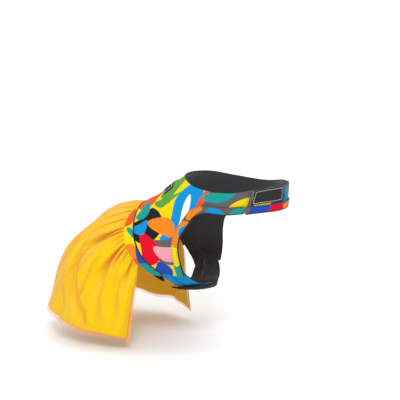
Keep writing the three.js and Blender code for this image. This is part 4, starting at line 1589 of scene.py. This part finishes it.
def veil_spots(settings):
    def spots(u, v):
        down = v * (1 + settings.veil_overhang / SKIRT_DROP)
        spread = settings.veil_spread * mix(SEAM_SPREAD_SHARE, 1, smooth(down, 0, SPREAD_FROM_SHARE))
        across = (2 * u - 1) * (1 + spread)
        lift, inside = skirt_lift(across, down, settings)
        normals = skirt_normal(across, down)
        points = skirt_line(across, down) + normals * (VEIL_FACE + lift)[..., None]
        hem, front = smooth(down, *HEM_BAND), smooth(np.abs(across), *FRONT_BAND)
        edge = settings.edge_opacity * np.maximum(HEM_DENSITY * hem, FRONT_DENSITY * front)
        # Creases add painted shade to the veil's cover; pleats, hem and front edge add its layers
        layers = CREASE_SHADE_DENSITY * inside + PLEAT_DENSITY * veil_pleats(across, down) * (1 - edge) + edge
        flat = (across * HALF_VEIL_FLAT, down * SKIRT_LENGTH_FLAT)
        return points, normals, flat, {"cloth_layers_and_crease_shade": np.clip(layers, 0, 1)}

    return spots


class DRESS_OT_veil(bpy.types.Operator):
    """Sheer veil over the skirt"""

    bl_idname = "dress.veil"
    bl_label = "Veil"

    def execute(self, context):
        settings = context.scene.dog_dress
        organza = organza_material(settings)
        quads = (settings.skirt_columns, settings.skirt_rows)
        piece = cloth_piece("veil_organza", *quads, veil_spots(settings), 0, [organza])
        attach(piece, "root")
        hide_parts("skirt_veil")
        return {"FINISHED"}


class DRESS_OT_piping(bpy.types.Operator):
    """Dark piping along the panel's rear edge"""

    bl_idname = "dress.piping"
    bl_label = "Piping"

    def execute(self, context):
        settings = context.scene.dog_dress
        black = plain_material(*BINDING)
        across = np.linspace(-1, 1, 261)
        place = walk_forward(panel_rear(np.abs(across)), -SEAM_GAP / 2)
        height = np.full_like(across, PANEL_WALL - PIPING_SINK)
        points, normals = cloth_at(place, side_of(across), height)
        piping = tube_piece("rear_piping", points, normals, settings.piping_radius, black)
        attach(piping, "root")
        return {"FINISHED"}


def aimed_object(context, name, data, place, aim):
    """A light or camera at a place, turned towards another."""
    holder = bpy.data.objects.new(name, data)
    holder.location = place
    holder.rotation_euler = (Vector(aim) - Vector(place)).to_track_quat("-Z", "Y").to_euler()
    context.collection.objects.link(holder)
    return holder


class DRESS_OT_stage(bpy.types.Operator):
    """Pale floor, soft studio light and the camera"""

    bl_idname = "dress.stage"
    bl_label = "Stage"

    def execute(self, context):
        floor_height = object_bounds()[0].z - FLOOR_DROP
        bm = bmesh.new()
        bmesh.ops.create_grid(bm, x_segments=1, y_segments=1, size=FLOOR_HALF_SIZE)
        floor = new_piece("floor", bm, [plain_material(*FLOOR_WHITE)])
        floor.data.transform(Matrix.Translation((0, 0, floor_height)))
        floor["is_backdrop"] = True
        world = bpy.data.worlds.new("studio")
        context.scene.world = world
        context.scene.view_settings.view_transform = "Standard"
        world.use_nodes = True
        background = world.node_tree.nodes["Background"]
        background.inputs["Color"].default_value = (1, 1, 1, 1)
        background.inputs["Strength"].default_value = WORLD_STRENGTH
        for name, place, aim, size, power in LIGHTS:
            light = bpy.data.lights.new(name, "AREA")
            light.size = size
            light.energy = power
            aimed_object(context, name, light, place, aim)
        camera = bpy.data.cameras.new("photo_camera")
        camera.lens = CAMERA_LENS
        camera.sensor_width = CAMERA_SENSOR
        holder = aimed_object(context, "photo_camera", camera, CAMERA_PLACE, CAMERA_AIM)
        context.scene.camera = holder
        return {"FINISHED"}


OPERATORS = (
    DRESS_OT_back_panel,
    DRESS_OT_yoke,
    DRESS_OT_rear_bands,
    DRESS_OT_armhole_bands,
    DRESS_OT_neck_straps,
    DRESS_OT_belly_straps,
    DRESS_OT_fasteners,
    DRESS_OT_labels,
    DRESS_OT_skirt,
    DRESS_OT_veil,
    DRESS_OT_piping,
    DRESS_OT_stage,
)


class DRESS_PT_sidebar(bpy.types.Panel):
    """Settings and pieces of the dog dress"""

    bl_label = "Dog dress"
    bl_space_type = "VIEW_3D"
    bl_region_type = "UI"
    bl_category = "Dog dress"

    def draw(self, context):
        column = self.layout.column()
        for name in DressSettings.__annotations__:
            column.prop(context.scene.dog_dress, name)
        for operator in OPERATORS:
            column.operator(operator.bl_idname)


def register():
    for cls in (DressSettings, *OPERATORS, DRESS_PT_sidebar):
        bpy.utils.register_class(cls)
    bpy.types.Scene.dog_dress = PointerProperty(type=DressSettings)


def unregister():
    del bpy.types.Scene.dog_dress
    for cls in reversed((DressSettings, *OPERATORS, DRESS_PT_sidebar)):
        bpy.utils.unregister_class(cls)


def main():
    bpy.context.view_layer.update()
    register()
    for operator in OPERATORS:
        group, name = operator.bl_idname.split(".")
        result = getattr(getattr(bpy.ops, group), name)()
        if result != {"FINISHED"}:
            raise RuntimeError(f"{operator.bl_idname} didn't finish")


if __name__ == "__main__":
    main()
